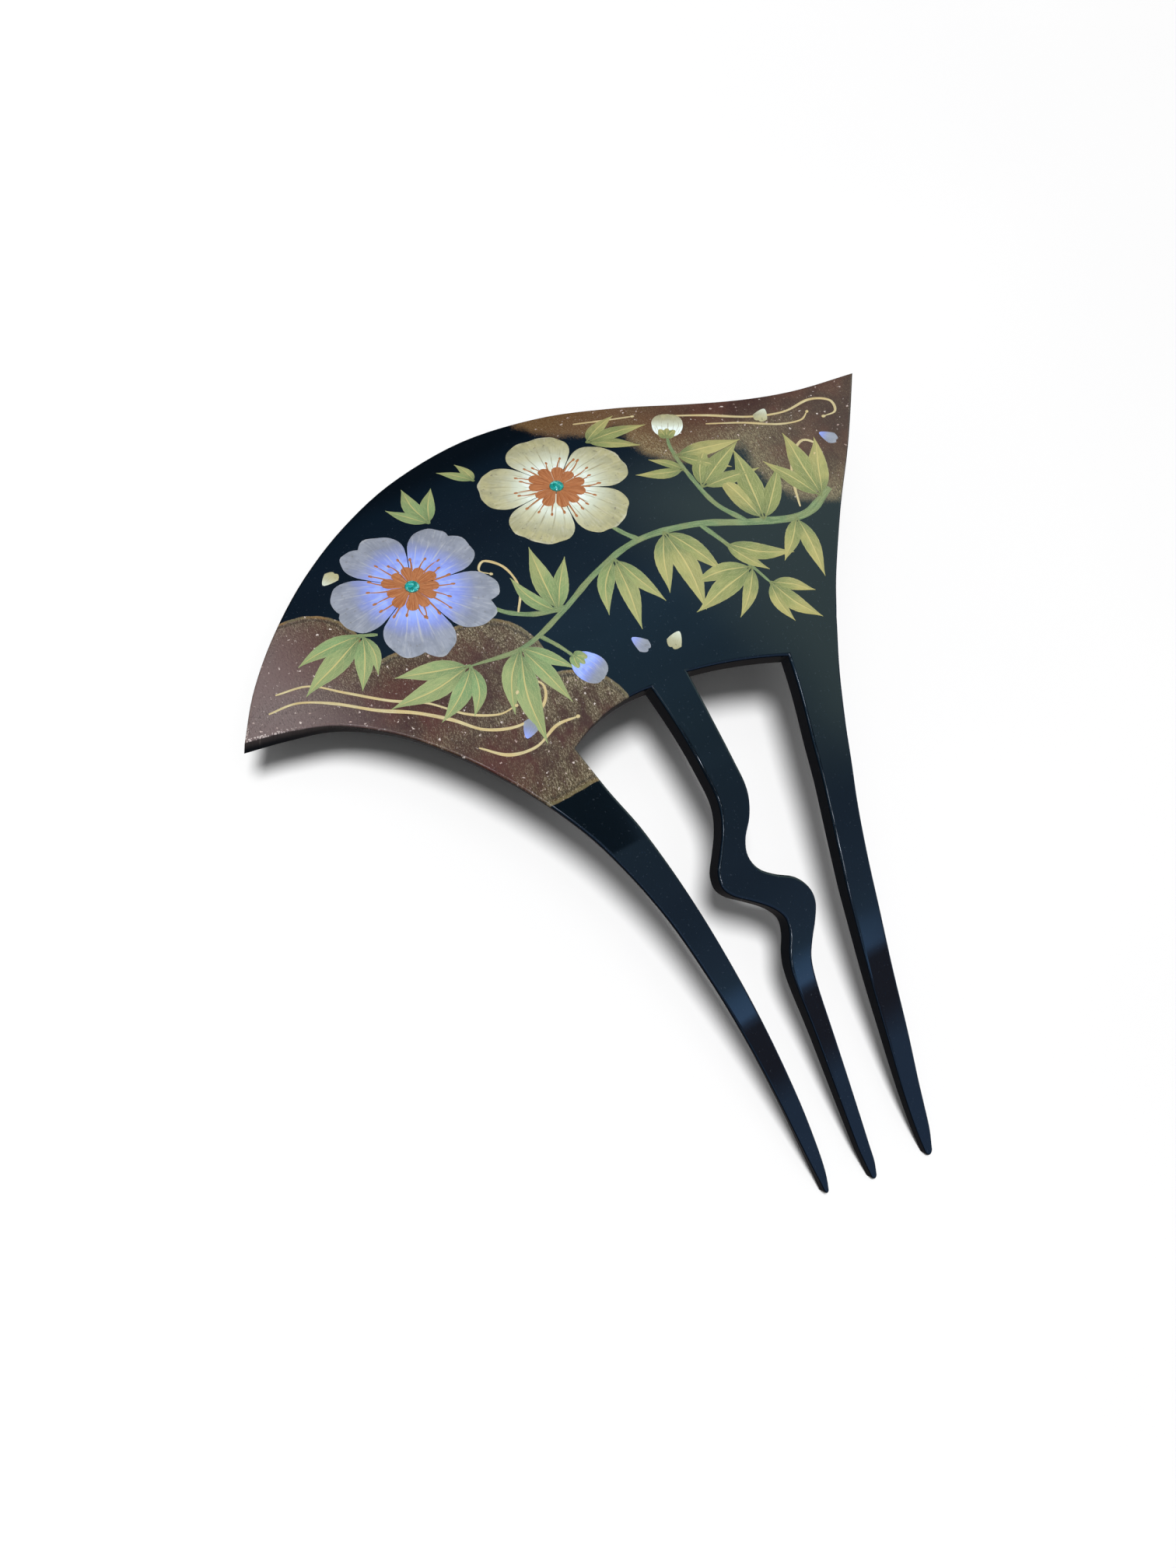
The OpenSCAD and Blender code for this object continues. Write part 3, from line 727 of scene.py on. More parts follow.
def make_floor():
    mat, k = material("studio_floor")
    t = k.put("ShaderNodeTexCoord").outputs["Object"]
    n = k.noise(t, 14.0, 1.0, 0.5)
    base = k.mix(k.step(n, 0.35, 0.65), (0.915, 0.915, 0.917), (0.925, 0.925, 0.925))
    k.surface(Base_Color=base, Roughness=0.9, Specular_IOR_Level=0.0)
    return mat

# ---------------------------------------------------------------- meshes

def make_object(name, verts, faces, mats, attrs, normals=None, sharp=None):
    me = bpy.data.meshes.new(name)
    me.from_pydata([tuple(v) for v in verts], [], faces)
    for key, values in attrs.items():
        a = me.attributes.new(key, "FLOAT_VECTOR", "POINT")
        a.data.foreach_set("vector", np.asarray(values, np.float32).ravel())
    me.polygons.foreach_set("use_smooth", [True]*len(me.polygons))
    for m in mats:
        me.materials.append(m)
    me.update()
    if normals is not None:
        n = np.asarray(normals, float)
        n /= np.linalg.norm(n, axis=1)[:, None]
        me.normals_split_custom_set_from_vertices([tuple(v) for v in n])
    if sharp is not None:
        me.set_sharp_from_angle(angle=math.radians(sharp))
    me.validate()
    ob = bpy.data.objects.new(name, me)
    bpy.context.scene.collection.objects.link(ob)
    return ob


class Pile:
    """Thin closed patches of paint, laid on the bent plate, that make one object together."""

    def __init__(self):
        self.v, self.f, self.paint, self.flat, self.n = [], [], [], [], 0

    def patch(self, P, H, A, base=-0.05):
        """P: flat points [nu, nv, 2]; H: height of each over the plate; A: paint coordinates [nu, nv, 3]."""
        P, H, A = np.asarray(P, float), np.asarray(H, float), np.asarray(A, float)
        nu, nv = H.shape
        e = P[1:, :-1] - P[:-1, :-1]
        g = P[:-1, 1:] - P[:-1, :-1]
        if (e[..., 0]*g[..., 1] - e[..., 1]*g[..., 0]).sum() < 0:
            P, H, A = P[:, ::-1], H[:, ::-1], A[:, ::-1]
        i = np.arange(nu*nv).reshape(nu, nv) + self.n
        b = i + nu*nv
        for a in range(nu - 1):
            for c in range(nv - 1):
                self.f.append((i[a, c], i[a+1, c], i[a+1, c+1], i[a, c+1]))
                self.f.append((b[a, c+1], b[a+1, c+1], b[a+1, c], b[a, c]))
        loop = [(r, 0) for r in range(nu)] + [(nu-1, c) for c in range(1, nv)]
        loop += [(r, nv-1) for r in range(nu-2, -1, -1)] + [(0, c) for c in range(nv-2, 0, -1)]
        for q, w in zip(loop, loop[1:] + loop[:1]):
            self.f.append((b[q], b[w], i[w], i[q]))
        top = surf(P[..., 0], P[..., 1], H).reshape(-1, 3)
        low = surf(P[..., 0], P[..., 1], np.full_like(H, base)).reshape(-1, 3)
        self.v += [top, low]
        flat = np.c_[P.reshape(-1, 2), H.ravel()]
        self.flat += [flat, flat]
        self.paint += [A.reshape(-1, 3)]*2
        self.n += 2*nu*nv

    def build(self, name, mat, slot="lacquer"):
        faces = [tuple(int(q) for q in f) for f in self.f]
        ob = make_object(name, np.concatenate(self.v), faces, [mat],
                         {"paint": np.concatenate(self.paint), "flat": np.concatenate(self.flat)}, sharp=38)
        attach(ob, "root")
        return ob


def crown(v, p=2.0):
    return np.sqrt(np.clip(1 - np.abs(v)**p, 0, 1))


def polar(c, r, a):
    return np.stack([c[0] + r*np.cos(a), c[1] + r*np.sin(a)], -1)


def blossom_petal(pile, c, heading, R, seed, notch, open_=0.50, r_in=1.3, nu=26, nv=33, low=0.045, high=0.045, wave=0.012, twist=3.0):
    """One of five rounded petals round c, between r_in and R."""
    rng = np.random.default_rng(seed)
    R = R*(1 + rng.uniform(-0.03, 0.03))
    skew, ph1, ph2 = rng.uniform(-0.05, 0.05), rng.uniform(0, 6.28), rng.uniform(0, 6.28)
    v = np.sin(np.linspace(-1, 1, nv)*math.pi/2)*0.5 + np.linspace(-1, 1, nv)*0.5
    f = open_ + (1 - open_)*np.clip(1 - np.abs(v)**2.5, 0, 1)**0.46*(1 + skew*v)
    f = f - notch*np.exp(-(np.abs(v)/0.12)**1.4) + wave*np.sin(9*v + ph1)*crown(v) + 0.6*wave*np.sin(17*v + ph2)*crown(v)
    u = np.linspace(0, 1, nu)**0.85
    U, V = np.meshgrid(u, v, indexing="ij")
    r = r_in + (R*f[None, :] - r_in)*U
    a = math.radians(heading + twist*0) + math.radians(36.0)*V - V*0.055/r + math.radians(twist)*(r/R)**2*(1 - np.abs(V))
    H = low + high*np.clip(1 - V**2, 0, 1)**0.7*np.sin(math.pi*np.clip(0.12 + 0.80*U, 0, 1))
    H = H*np.clip((1.02 - U)/0.06, 0.35, 1)
    pile.patch(polar(c, r, a), H, np.stack([r/R, V, np.full_like(U, seed % 97 + 0.37)], -1))


def heart(pile, c, turn, R, seed, lobes=11):
    """Scalloped button round the shell dot, with stamens that end in anthers."""
    rng = np.random.default_rng(seed)
    for i in range(lobes):
        a0 = math.radians(turn + 360*i/lobes + rng.uniform(-1.5, 1.5))
        half = math.pi/lobes
        rr = R*(1 + rng.uniform(-0.10, 0.10))
        v = np.linspace(-1, 1, 9)
        u = np.linspace(0, 1, 9)
        U, V = np.meshgrid(u, v, indexing="ij")
        f = 0.76 + 0.24*crown(v, 1.7)
        r = 0.92 + (rr*f[None, :] - 0.92)*U
        a = a0 + half*V - V*0.010/r
        H = 0.105 + 0.050*crown(V)*np.sin(math.pi*(0.15 + 0.8*U))
        pile.patch(polar(c, r, a), H, np.stack([0.2 + 0.55*U, V*0.2 + i*0.7, np.full_like(U, seed % 89 + i*0.13)], -1), base=0.0)
    n = 21
    for i in range(n):
        a0 = math.radians(turn + 360*(i + rng.uniform(-0.18, 0.18))/n)
        r0, r1 = R*0.80, R*rng.uniform(1.28, 1.62)
        bow = rng.uniform(-0.10, 0.10)
        t = np.linspace(0, 1, 8)
        r = r0 + (r1 - r0)*t
        mid = polar(c, r, a0 + bow*t**2)
        stroke(pile, mid, 0.19 - 0.06*t, 0.125, seed + i, u0=0.7, scale=0.3)
        drop(pile, mid[-1], a0 + bow, rng.uniform(0.52, 0.68), rng.uniform(0.36, 0.44), 0.15, seed + i)


def sides(mid):
    """Unit vectors across a line of flat points."""
    d = np.gradient(mid, axis=0)
    d /= np.linalg.norm(d, axis=1)[:, None]
    return np.stack([-d[:, 1], d[:, 0]], 1)


def stroke(pile, mid, half, h, seed, u0=0.0, scale=1.0, base=-0.05, nv=5):
    """A brush stroke along the flat points mid, half wide to either side."""
    mid = np.asarray(mid, float)
    half = np.broadcast_to(half, (len(mid),))
    q = sides(mid)
    v = np.linspace(-1, 1, nv)
    P = mid[:, None, :] + q[:, None, :]*(half[:, None]*v[None, :])[..., None]
    run = np.r_[0, np.cumsum(np.linalg.norm(np.diff(mid, axis=0), axis=1))]
    H = 0.012 + (h - 0.012)*crown(v, 2.0)[None, :]*np.clip(half/half.max(), 0.2, 1)[:, None]
    A = np.stack(np.broadcast_arrays(u0 + run[:, None]*scale, v[None, :], np.full((1, 1), seed*0.61 % 31)), -1)
    pile.patch(P, H, A, base)


def drop(pile, c, a, length, wide, h, seed, u=0.95):
    """A small rounded touch of the brush."""
    t = np.linspace(0, math.pi, 9)
    y = -np.cos(t)*length/2
    w = np.maximum(np.sin(t)**0.9*wide/2, 0.012)
    v = np.linspace(-1, 1, 7)
    d, q = np.array([math.cos(a), math.sin(a)]), np.array([-math.sin(a), math.cos(a)])
    P = np.asarray(c)[None, None, :] + y[:, None, None]*d + (w[:, None]*v[None, :])[..., None]*q
    H = 0.03 + (h - 0.03)*crown(v)[None, :]*np.sin(t)[:, None]**0.5
    pile.patch(P, H, np.stack(np.broadcast_arrays(np.full((len(t), 1), u), v[None, :], np.full((1, 1), seed*0.37 % 17)), -1), base=0.0)


def smooth_line(points, step=0.35):
    """Flat points every step mm on a smooth curve through the given ones."""
    p = np.asarray(points, float)
    n = len(p) - 1
    fine = np.array([along(p, w) for w in np.linspace(0, 1, 40*n + 1)])
    run = np.r_[0, np.cumsum(np.linalg.norm(np.diff(fine, axis=0), axis=1))]
    m = max(6, int(run[-1]/step))
    t = np.linspace(0, run[-1], m)
    return np.stack([np.interp(t, run, fine[:, 0]), np.interp(t, run, fine[:, 1])], 1)


def swell(n, start=0.35, end=0.15, full=1.0, ease=0.18):
    """Width factors of a brush stroke that presses on and lifts off."""
    t = np.linspace(0, 1, n)
    a = start + (full - start)*np.clip(t/ease, 0, 1)**0.7
    b = end + (full - end)*np.clip((1 - t)/ease, 0, 1)**0.7
    return np.minimum(a, b)


def gold_line(pile, points, width, seed, start=0.55, end=0.30, h=0.030):
    mid = smooth_line(points)
    rng = np.random.default_rng(seed)
    t = np.linspace(0, 1, len(mid))
    wob = 1 + 0.14*np.sin(t*rng.uniform(9, 14) + rng.uniform(0, 6)) + 0.07*np.sin(t*rng.uniform(25, 40))
    stroke(pile, mid, width/2*swell(len(mid), start, end)*wob, h, seed)
    d = mid[-1] - mid[-3]
    drop(pile, mid[-1], math.atan2(d[1], d[0]), width*1.45, width*1.25, h + 0.045, seed + 50, u=seed % 7)


def leaf(pile, x, s, angle, length, wide, curve, seed, round_=(0.90, 1.45), teeth=0.04, h=0.045, nu=38, nv=11, stalk=0.08):
    """A leaf from its stalk end (x, s), heading at angle degrees and turning by curve degrees towards its point."""
    rng = np.random.default_rng(seed)
    t = np.linspace(0, 1, nu)
    a = np.radians(angle + curve*(t - 0.25) + rng.uniform(-7, 7)*np.sin(2*math.pi*t))
    step = np.stack([np.cos(a), np.sin(a)], 1)*length/(nu - 1)
    mid = np.array([x, s]) + np.cumsum(step, 0) - step[0]
    p, q = round_
    peak = p/(p + q)
    b = np.clip((t - stalk)/(1 - stalk), 0, 1)
    w = (b/peak)**p*((1 - b)/(1 - peak))**q*wide/2
    saw = (t*rng.uniform(9, 11) + 0.3) % 1.0
    w = w*(1 + teeth*(saw - 0.5)*np.clip(t*6, 0, 1)) + 0.13 - 0.10*t
    lean = rng.uniform(-0.10, 0.10)
    n2 = sides(mid)
    v = np.linspace(-1, 1, nv)
    vv = np.where(v > 0, v*(1 + lean), v*(1 - lean))
    P = mid[:, None, :] + n2[:, None, :]*(w[:, None]*vv[None, :])[..., None]
    H = 0.024 + h*crown(v, 1.6)[None, :]*np.clip(w/w.max()*1.6, 0.15, 1)[:, None]
    H = H - 0.012*np.exp(-(v/0.12)**2)[None, :]
    A = np.stack(np.broadcast_arrays(t[:, None], v[None, :], np.full((1, 1), (seed*0.617) % 13)), -1)
    pile.patch(P, H, A)
    return mid


def loose_petal(pile, x, s, angle, length, wide, seed):
    """A fallen petal with a notched end."""
    u = np.linspace(0.02, 1, 14)
    v = np.linspace(-1, 1, 13)
    U, V = np.meshgrid(u, v, indexing="ij")
    y = length*U*(1 - 0.09*np.exp(-(np.abs(V)/0.20)**1.4)*U**5 - 0.34*np.abs(V)**2.6*U**3)
    w = wide/2*np.sin(math.pi/2*U**0.8)**0.9 + 0.03
    a = math.radians(angle)
    P = np.stack([x + y*math.cos(a) - w*V*math.sin(a), s + y*math.sin(a) + w*V*math.cos(a)], -1)
    H = 0.015 + 0.035*crown(V)*np.sin(math.pi*(0.1 + 0.8*U))
    pile.patch(P, H, np.stack([0.45 + 0.5*U, V, np.full_like(U, seed*0.71 % 23)], -1))


def bud(petals, green, x, s, angle, size, seed):
    """A closed bud on its cup."""
    a = math.radians(angle)
    d, q = np.array([math.cos(a), math.sin(a)]), np.array([-math.sin(a), math.cos(a)])
    o = np.array([x, s])
    for off, turn, wide, hh in ((-0.24, 14, 0.72, 0.03), (0.24, -14, 0.72, 0.03), (0.0, 0, 0.86, 0.05)):
        c = o + q*off*size*0.6
        leaf(petals, c[0], c[1], angle - turn*0 + off*-40, size, size*wide, off*-30, seed + int(off*10) + 3, round_=(0.60, 0.42), teeth=0.0, h=hh, nu=22, stalk=0.0)
    for turn in (-34, 0, 34):
        leaf(green, x - d[0]*0.3, s - d[1]*0.3, angle + turn, size*0.46, size*0.26, -turn*0.4, seed + turn + 50, round_=(0.55, 0.9), teeth=0.0, h=0.075, nu=16, stalk=0.0)


# ---------------------------------------------------------------- the comb

lacquer = make_lacquer()
V, faces, layers, normals = plate(60, 8, 20, (80, 150, 80), 7)
body = make_object("comb_lacquered", row_frame(V), faces, [lacquer], {"flat": layers}, normals=turned(normals, PITCH))
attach(body, "root")
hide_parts("comb_body")

lilac_paint = make_petals("petal_paint_lilac", (0.310, 0.335, 0.400), (0.285, 0.315, 0.430), (0.250, 0.320, 0.820), (0.330, 0.460, 1.0),
                          (0.56, 0.57, 0.55), 0.55, 0.60, 0.5)
ivory_paint = make_petals("petal_paint_ivory", (0.460, 0.435, 0.235), (0.570, 0.570, 0.390), (0.700, 0.760, 0.620), (0.86, 0.96, 0.93),
                          (0.260, 0.215, 0.105), 0.62, 0.56, 0.7)
rust = make_heart()
leaf_paint = make_leaf()
stem_paint = make_stroke("stem_paint", (0.100, 0.165, 0.062), (0.215, 0.300, 0.130), (0.250, 0.260, 0.100), 0.42, 0.0, 2.0)
gold = make_stroke("gold_paint", (0.520, 0.400, 0.180), (0.740, 0.640, 0.360), (0.640, 0.450, 0.170), 0.40, 0.10, 2.6)

LILAC, IVORY = (-20.5, 40.5), (4.5, 45.5)

# groups of leaves: x, s of the joint, heading, length of the longest, number
GROUPS = [
    (33.8, 27.2, 84, 11.8, 3), (28.8, 26.2, -104, 8.8, 2), (24.6, 27.7, 66, 12.4, 3), (20.5, 35.8, 24, 10.4, 3),
    (20.9, 42.2, -16, 9.6, 2), (20.4, 39.4, 160, 6.2, 2), (17.8, 27.2, -34, 8.8, 2), (19.1, 22.8, -160, 10.4, 3),
    (19.9, 19.9, -68, 8.0, 3), (11.8, 32.4, -94, 12.0, 3), (3.8, 31.9, -108, 10.8, 3), (-6.9, 28.6, 82, 10.4, 3),
    (-14.0, 26.5, -108, 12.2, 4), (-20.6, 27.3, 188, 12.0, 4), (-29.6, 37.2, 204, 11.0, 4), (-12.6, 48.8, 90, 8.6, 3),
    (-3.4, 52.6, 116, 5.6, 2), (12.8, 50.6, -8, 9.0, 3),
]
FANNED = [0, -30, 33, 62]        # turn of each leaf of a group
SHORTER = [1.0, 0.80, 0.76, 0.58]
STEMS = [
    ([(35.6, 27.8), (30.0, 26.0), (23.5, 28.0), (16.0, 31.4), (8.0, 32.8), (0.5, 31.2), (-6.5, 28.4), (-13.5, 26.4), (-20.6, 27.2)], 1.15, 0.50),
    ([(22.6, 28.4), (20.4, 33.0), (20.4, 39.0), (21.2, 43.4), (22.2, 45.6)], 0.75, 0.45),
    ([(8.4, 32.7), (7.2, 34.6), (6.2, 37.0)], 0.75, 0.55),
    ([(-5.6, 28.8), (-9.4, 29.6), (-12.4, 31.4), (-14.2, 33.6)], 0.75, 0.55),
    ([(16.6, 31.1), (18.0, 27.0), (19.0, 23.0), (19.9, 19.8)], 0.70, 0.35),
    ([(-11.0, 27.0), (-9.6, 24.6), (-8.7, 22.6)], 0.60, 0.40),
    ([(-28.0, 36.4), (-29.6, 37.2), (-31.4, 38.2)], 0.50, 0.30),
]
BUDS = [(22.2, 45.6, 52, 4.6, "ivory"), (-8.6, 22.4, -68, 4.4, "lilac")]
LINES = [
    ([(-45.0, 32.9), (-41.4, 32.6), (-37.8, 30.6), (-33.8, 27.4), (-30.0, 25.0), (-26.6, 22.2), (-23.6, 19.2), (-19.4, 17.8), (-15.6, 18.8), (-14.2, 21.0), (-15.8, 22.6), (-17.6, 21.6)], 0.42),
    ([(-43.0, 34.8), (-39.0, 34.0), (-35.8, 31.2), (-31.8, 27.8), (-28.0, 25.4), (-24.6, 22.0), (-21.2, 20.2), (-18.6, 20.2)], 0.34),
    ([(-25.6, 17.6), (-22.8, 15.2), (-19.2, 14.6), (-15.6, 15.8), (-12.6, 15.6)], 0.38),
    ([(24.4, 49.2), (29.0, 46.2), (33.6, 42.9), (38.2, 41.2), (42.6, 41.3), (45.0, 39.8), (44.4, 37.8), (42.4, 37.8)], 0.40),
    ([(28.0, 44.8), (32.2, 42.4), (36.0, 39.8), (39.2, 38.8), (41.0, 39.6)], 0.34),
    ([(13.8, 55.0), (17.4, 53.2), (21.0, 51.6)], 0.36),
    ([(30.2, 27.2), (31.6, 30.4), (33.8, 33.8), (37.0, 35.8), (38.4, 34.4), (37.2, 33.2)], 0.34),
    ([(-11.4, 30.8), (-9.2, 33.8), (-9.0, 37.4), (-10.6, 39.6), (-12.0, 38.6), (-11.0, 37.4)], 0.34),
]
FALLEN = [
    (-19.8, 16.0, 40, "lilac"), (36.4, 43.0, 214, "ivory"), (40.0, 35.8, 300, "lilac"), (5.2, 19.4, 214, "ivory"),
    (-0.8, 21.4, 296, "lilac"), (-29.4, 46.6, 24, "ivory"),
]

lilac_pile, ivory_pile, rust_pile, leaf_pile, stem_pile, gold_pile, cup_pile = (Pile() for _ in range(7))
for i in range(5):
    blossom_petal(lilac_pile, LILAC, 100 + 72*i, 10.6, 11 + i, notch=0.085)
    blossom_petal(ivory_pile, IVORY, 76 + 72*i, 10.2, 31 + i, notch=0.0, open_=0.53, wave=0.010, twist=-3.0)
heart(rust_pile, LILAC, 8, 3.5, 5)
heart(rust_pile, IVORY, 20, 3.6, 9)
for i, (x, s, a, l, count) in enumerate(GROUPS):
    rng = np.random.default_rng(900 + i)
    for j in range(count):
        size = l*SHORTER[j]*(1 + rng.uniform(-0.06, 0.06))
        leaf(leaf_pile, x, s, a + FANNED[j] + rng.uniform(-5, 5), size, size*rng.uniform(0.225, 0.275),
             -0.42*FANNED[j] + (-1)**i*10 + rng.uniform(-8, 8), 100 + 7*i + j)
for i, (pts, w0, w1) in enumerate(STEMS):
    mid = smooth_line(pts)
    t = np.linspace(0, 1, len(mid))
    knots = 1 + 0.16*np.exp(-((t*len(pts)*0.9) % 1 - 0.5)**2/0.02)
    stroke(stem_pile, mid, (w0 + (w1 - w0)*t)/2*knots*swell(len(mid), 0.6, 0.4, ease=0.06), 0.034, 200 + i)
for i, (x, s, a, size, kind) in enumerate(BUDS):
    if size:
        bud(ivory_pile if kind == "ivory" else lilac_pile, cup_pile, x, s, a, size, 300 + 10*i)
for i, (pts, w) in enumerate(LINES):
    gold_line(gold_pile, pts, w, 400 + i)
for i, (x, s, a, kind) in enumerate(FALLEN):
    loose_petal(ivory_pile if kind == "ivory" else lilac_pile, x, s, a, 2.7, 2.0, 500 + i)

lilac_pile.build("blossom_lilac_petals", lilac_paint)
ivory_pile.build("blossom_ivory_petals", ivory_paint)
rust_pile.build("blossom_hearts", rust)
leaf_pile.build("leaves_painted", leaf_paint)
cup_pile.build("bud_cups", leaf_paint)
stem_pile.build("branch_painted", stem_paint)
gold_pile.build("gold_lines", gold)

shell = make_shell()
for name in ("shell_dot_lilac", "shell_dot_ivory"):
    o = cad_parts[name]
    o.data.materials.clear()
    o.data.materials.append(shell)

# ---------------------------------------------------------------- floor, light and camera

def square(name, size, mat):
    n = 24
    g = np.linspace(-size/2, size/2, n + 1)
    verts = [(x, y, 0.0) for y in g for x in g]
    fs = [(j*(n+1) + i, j*(n+1) + i + 1, (j+1)*(n+1) + i + 1, (j+1)*(n+1) + i) for j in range(n) for i in range(n)]
    me = bpy.data.meshes.new(name)
    me.from_pydata(verts, [], fs)
    me.materials.append(mat)
    ob = bpy.data.objects.new(name, me)
    bpy.context.scene.collection.objects.link(ob)
    return ob


floor = square("floor", 3.0, make_floor())
floor.visible_glossy = False


def aimed(ob, place, target, up=(0, 0, 1)):
    from mathutils import Matrix, Vector
    z = (Vector(place) - Vector(target)).normalized()
    x = Vector(up).cross(z).normalized()
    y = z.cross(x)
    m = Matrix((x, y, z)).transposed().to_4x4()
    m.translation = Vector(place)
    ob.matrix_world = m


def softbox(name, direction, distance, size, watts, colour=(1, 1, 1)):
    la = bpy.data.lights.new(name, "AREA")
    la.shape = "DISK"
    la.size = size
    la.energy = watts
    la.color = colour
    ob = bpy.data.objects.new(name, la)
    bpy.context.scene.collection.objects.link(ob)
    d = np.asarray(direction, float)
    d /= np.linalg.norm(d)
    aimed(ob, d*distance, (0, 0, 0), up=(0, 1, 0))
    return ob


key = softbox("key", (-0.370, 0.115, 1.0), 3.0, 0.66, 86.0)
wide = softbox("wide", (-0.30, 0.10, 1.0), 3.0, 2.6, 12.0)
key.visible_glossy = False
wide.visible_glossy = False


LAMP = (-0.372, 0.202, 0.906)


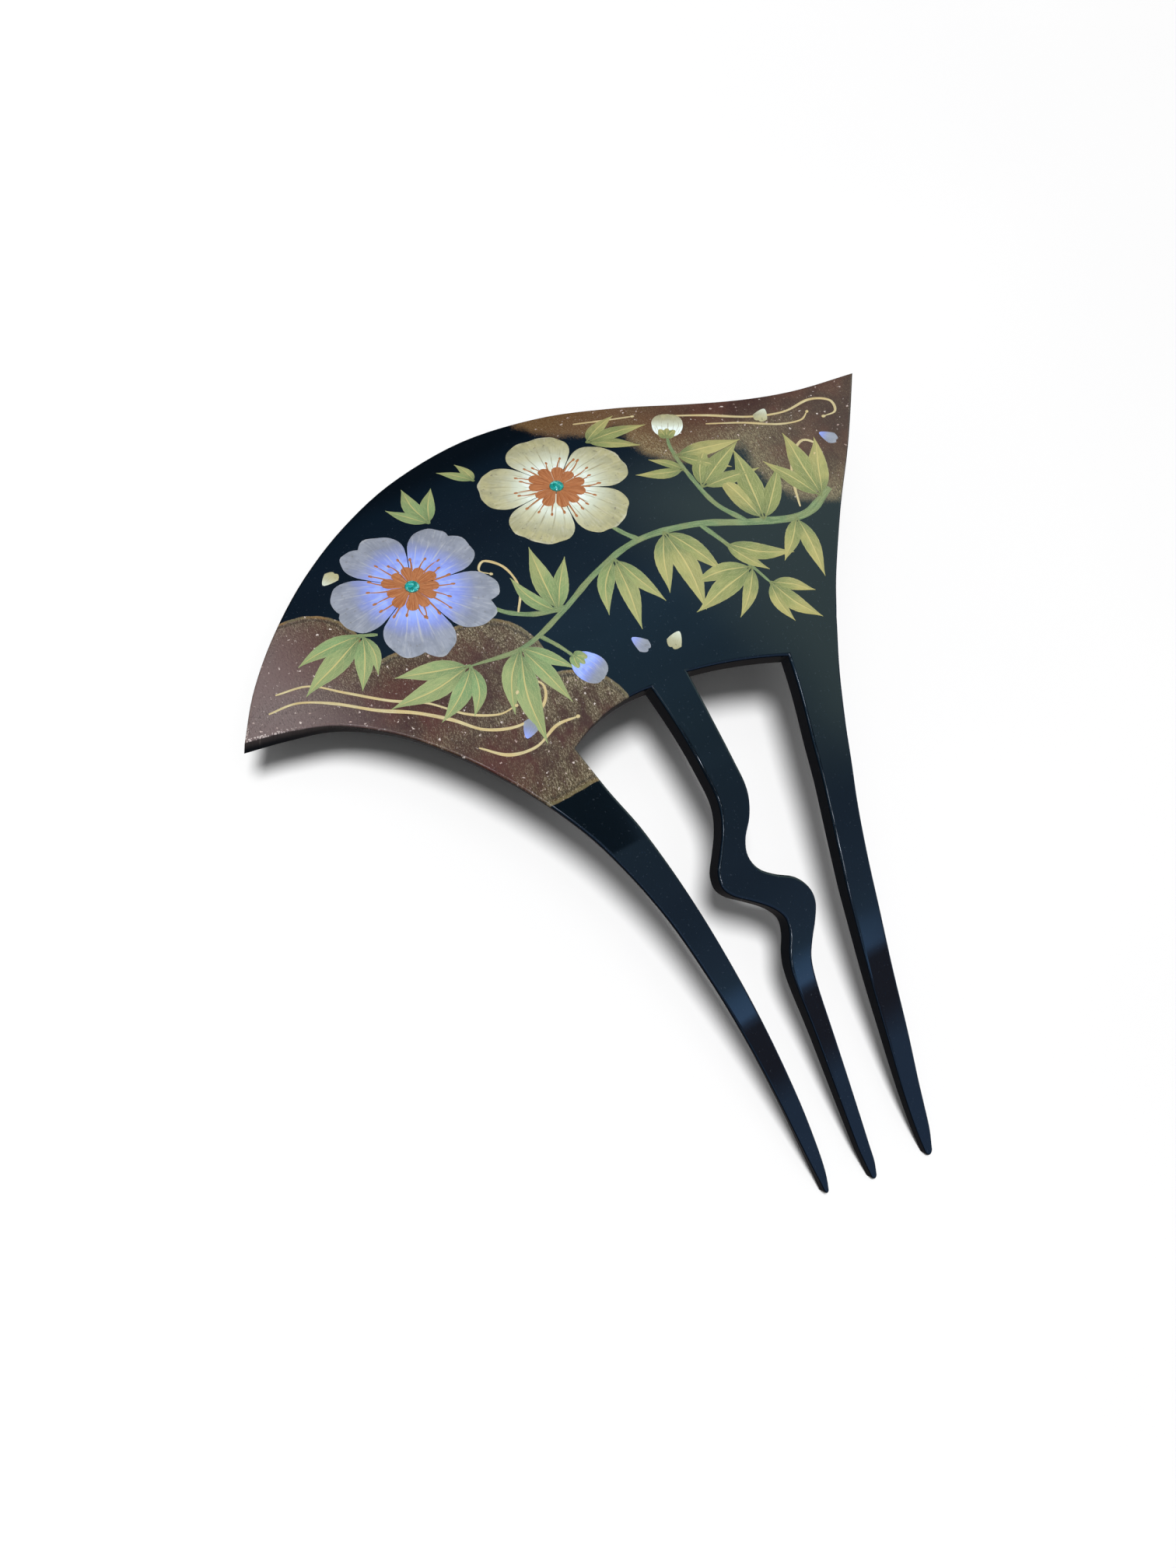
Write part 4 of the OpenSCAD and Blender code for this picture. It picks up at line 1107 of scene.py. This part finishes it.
def make_world():
    w = bpy.data.worlds.new("studio")
    bpy.context.scene.world = w
    w.use_nodes = True
    k = Nodes(w.node_tree)
    d = k.put("ShaderNodeTexCoord").outputs["Generated"]
    x, y, z = k.xyz(d)
    phi = k.m("MULTIPLY", k.m("ARCTAN2", y, z), 57.2958)          # turn about the comb's width, 0 overhead, + towards the fan edge
    stops = [
        (-110, (0.10, 0.13, 0.18)), (-75, (0.22, 0.37, 0.70)), (-60, (0.27, 0.46, 0.84)), (-52, (0.24, 0.40, 0.70)),
        (-48.6, (0.15, 0.115, 0.12)), (-41.2, (0.14, 0.105, 0.105)), (-40.2, (0.58, 1.12, 2.10)), (-37.2, (0.46, 0.94, 1.72)),
        (-34.6, (0.25, 0.44, 0.68)), (-31, (0.22, 0.36, 0.56)), (-20, (0.19, 0.30, 0.47)), (-8, (0.19, 0.33, 0.48)), (5, (0.19, 0.35, 0.48)),
        (16, (0.22, 0.43, 0.64)), (28, (0.25, 0.53, 0.82)), (40, (0.18, 0.34, 0.54)), (55, (0.12, 0.24, 0.40)),
        (68, (0.08, 0.15, 0.26)), (85, (0.03, 0.08, 0.15)), (100, (0.03, 0.06, 0.11)), (150, (0.12, 0.14, 0.18))]
    top = 2.5
    haze = k.noise(d, 3.5, 2.0, 0.6, dims="3D")
    f = k.m("DIVIDE", k.m("ADD", phi, 110.0), 260.0)
    sky = k.ramp(f, [((a + 110)/260, tuple(c/top for c in col)) for a, col in stops])
    sky = k.mix(k.m("MULTIPLY", k.step(haze, 0.62, 0.36), 0.22), sky, (0.0, 0.0, 0.0))
    # the bright patch low on the prongs is weaker on the right
    weak = k.m("MULTIPLY", k.step(x, 0.395, 0.425), k.m("MULTIPLY", k.step(phi, -41.0, -40.0), k.step(phi, -33.0, -35.0)))
    sky = k.mix(k.m("MULTIPLY", weak, 0.72), sky, (0.23/top, 0.38/top, 0.62/top))
    right = k.m("MULTIPLY", k.step(x, 0.405, 0.450), k.m("MULTIPLY", k.step(phi, -20.0, -4.0), k.step(phi, 75.0, 42.0)))
    sky = k.mix(right, sky, (0.60/top, 0.86/top, 0.85/top))
    # a dark opening low on the left, and a thin bright gap
    gap = k.m("MULTIPLY", k.step(x, 0.338, 0.333), k.m("MULTIPLY", k.step(phi, -9.4, -8.7), k.step(phi, 5.6, 4.0)))
    sky = k.mix(gap, sky, (0.020/top, 0.034/top, 0.036/top))
    slit = k.m("MULTIPLY", k.near(x, 0.4268, 0.0030), k.near(phi, 33.0, 7.0))
    sky = k.mix(k.m("MULTIPLY", slit, 0.75), sky, (0.9/top, 1.4/top, 2.0/top))
    # a far bright window that the rolled edges catch as short glints
    spark = k.m("ADD", k.near(y, -0.210, 0.130), k.m("ADD", k.near(y, 0.27, 0.060), k.near(y, -0.030, 0.025)), clamp=True)
    spark = k.m("MULTIPLY", k.step(spark, 0.0, 0.35), k.m("MULTIPLY", k.step(x, -0.22, -0.30), k.step(x, -0.70, -0.60)))
    broken = k.step(k.noise(k.join(k.m("MULTIPLY", x, 0.2), y), 27.0, 1.0, 0.6), 0.555, 0.60)
    spark = k.m("MULTIPLY", k.m("MULTIPLY", spark, broken), k.step(z, 0.60, 0.66))
    sky = k.mix(spark, sky, (17.0/top, 18.5/top, 21.0/top))
    # the lamp as the polish sees it, small and soft, and darkness under the table's edge
    lamp = k.v("DOT_PRODUCT", d, LAMP)
    streaky = k.step(k.noise(d, 26.0, 1.0, 0.7, dims="3D"), 0.46, 0.60)
    sky = k.mix(k.m("MULTIPLY", k.step(lamp, 0.9900, 0.9975), k.m("MULTIPLY", streaky, 0.85)), sky, (3.2/top, 3.4/top, 3.6/top))
    sky = k.mix(k.step(z, 0.10, -0.04), sky, (0.012/top, 0.018/top, 0.026/top))
    # the pale table, as the upright walls see it when they look steeply down
    sky = k.mix(k.step(z, -0.55, -0.80), sky, (0.045/top, 0.042/top, 0.042/top))
    gloss = k.put("ShaderNodeBackground")
    k.link(gloss.inputs[0], sky)
    gloss.inputs[1].default_value = top
    fill = k.put("ShaderNodeBackground")
    fill.inputs[0].default_value = (1.0, 1.0, 1.0, 1.0)
    fill.inputs[1].default_value = 0.110
    seen = k.put("ShaderNodeBackground")
    seen.inputs[0].default_value = (0.96, 0.96, 0.96, 1.0)
    seen.inputs[1].default_value = 1.0
    path = k.put("ShaderNodeLightPath")
    a = k.put("ShaderNodeMixShader")
    k.link(a.inputs[0], path.outputs["Is Glossy Ray"])
    k.t.links.new(fill.outputs[0], a.inputs[1])
    k.t.links.new(gloss.outputs[0], a.inputs[2])
    b = k.put("ShaderNodeMixShader")
    k.link(b.inputs[0], path.outputs["Is Camera Ray"])
    k.t.links.new(a.outputs[0], b.inputs[1])
    k.t.links.new(seen.outputs[0], b.inputs[2])
    o = k.put("ShaderNodeOutputWorld")
    k.t.links.new(b.outputs[0], o.inputs[0])


make_world()

# The camera was fitted in the unposed comb's frame; it is turned with the comb into the row frame.
FOCAL, EYE = 2800.0, (-119.248926, 9.58122078, 236.113563)
TILT_X, TILT_Y, SPIN = -0.00711766454, -0.411630562, 0.481460260


def camera_axes():
    t = math.hypot(TILT_X, TILT_Y)
    ux, uy = TILT_X/t, TILT_Y/t
    K = np.array([[0, 0, uy], [0, 0, -ux], [-uy, ux, 0]])
    turn = np.eye(3) + math.sin(t)*K + (1 - math.cos(t))*(K @ K)
    c, s = math.cos(SPIN), math.sin(SPIN)
    return np.array([[c, -s, 0], [-s, -c, 0], [0, 0, -1]]) @ turn.T


def make_camera():
    from mathutils import Matrix, Vector
    axes = turned(camera_axes(), PITCH)
    eye = row_frame(np.array(EYE))
    cam = bpy.data.cameras.new("camera")
    cam.sensor_fit = "HORIZONTAL"
    cam.sensor_width = 36.0
    cam.lens = FOCAL/1512*36.0
    cam.clip_start = 0.01
    cam.clip_end = 20.0
    ob = bpy.data.objects.new("camera", cam)
    bpy.context.scene.collection.objects.link(ob)
    m = Matrix((Vector(axes[0]), Vector(-axes[1]), Vector(-axes[2]))).transposed().to_4x4()
    m.translation = Vector(eye)
    ob.matrix_world = m
    bpy.context.scene.camera = ob


make_camera()
bpy.context.scene.view_settings.view_transform = "Standard"
bpy.context.scene.view_settings.look = "None"

bpy.context.view_layer.update()
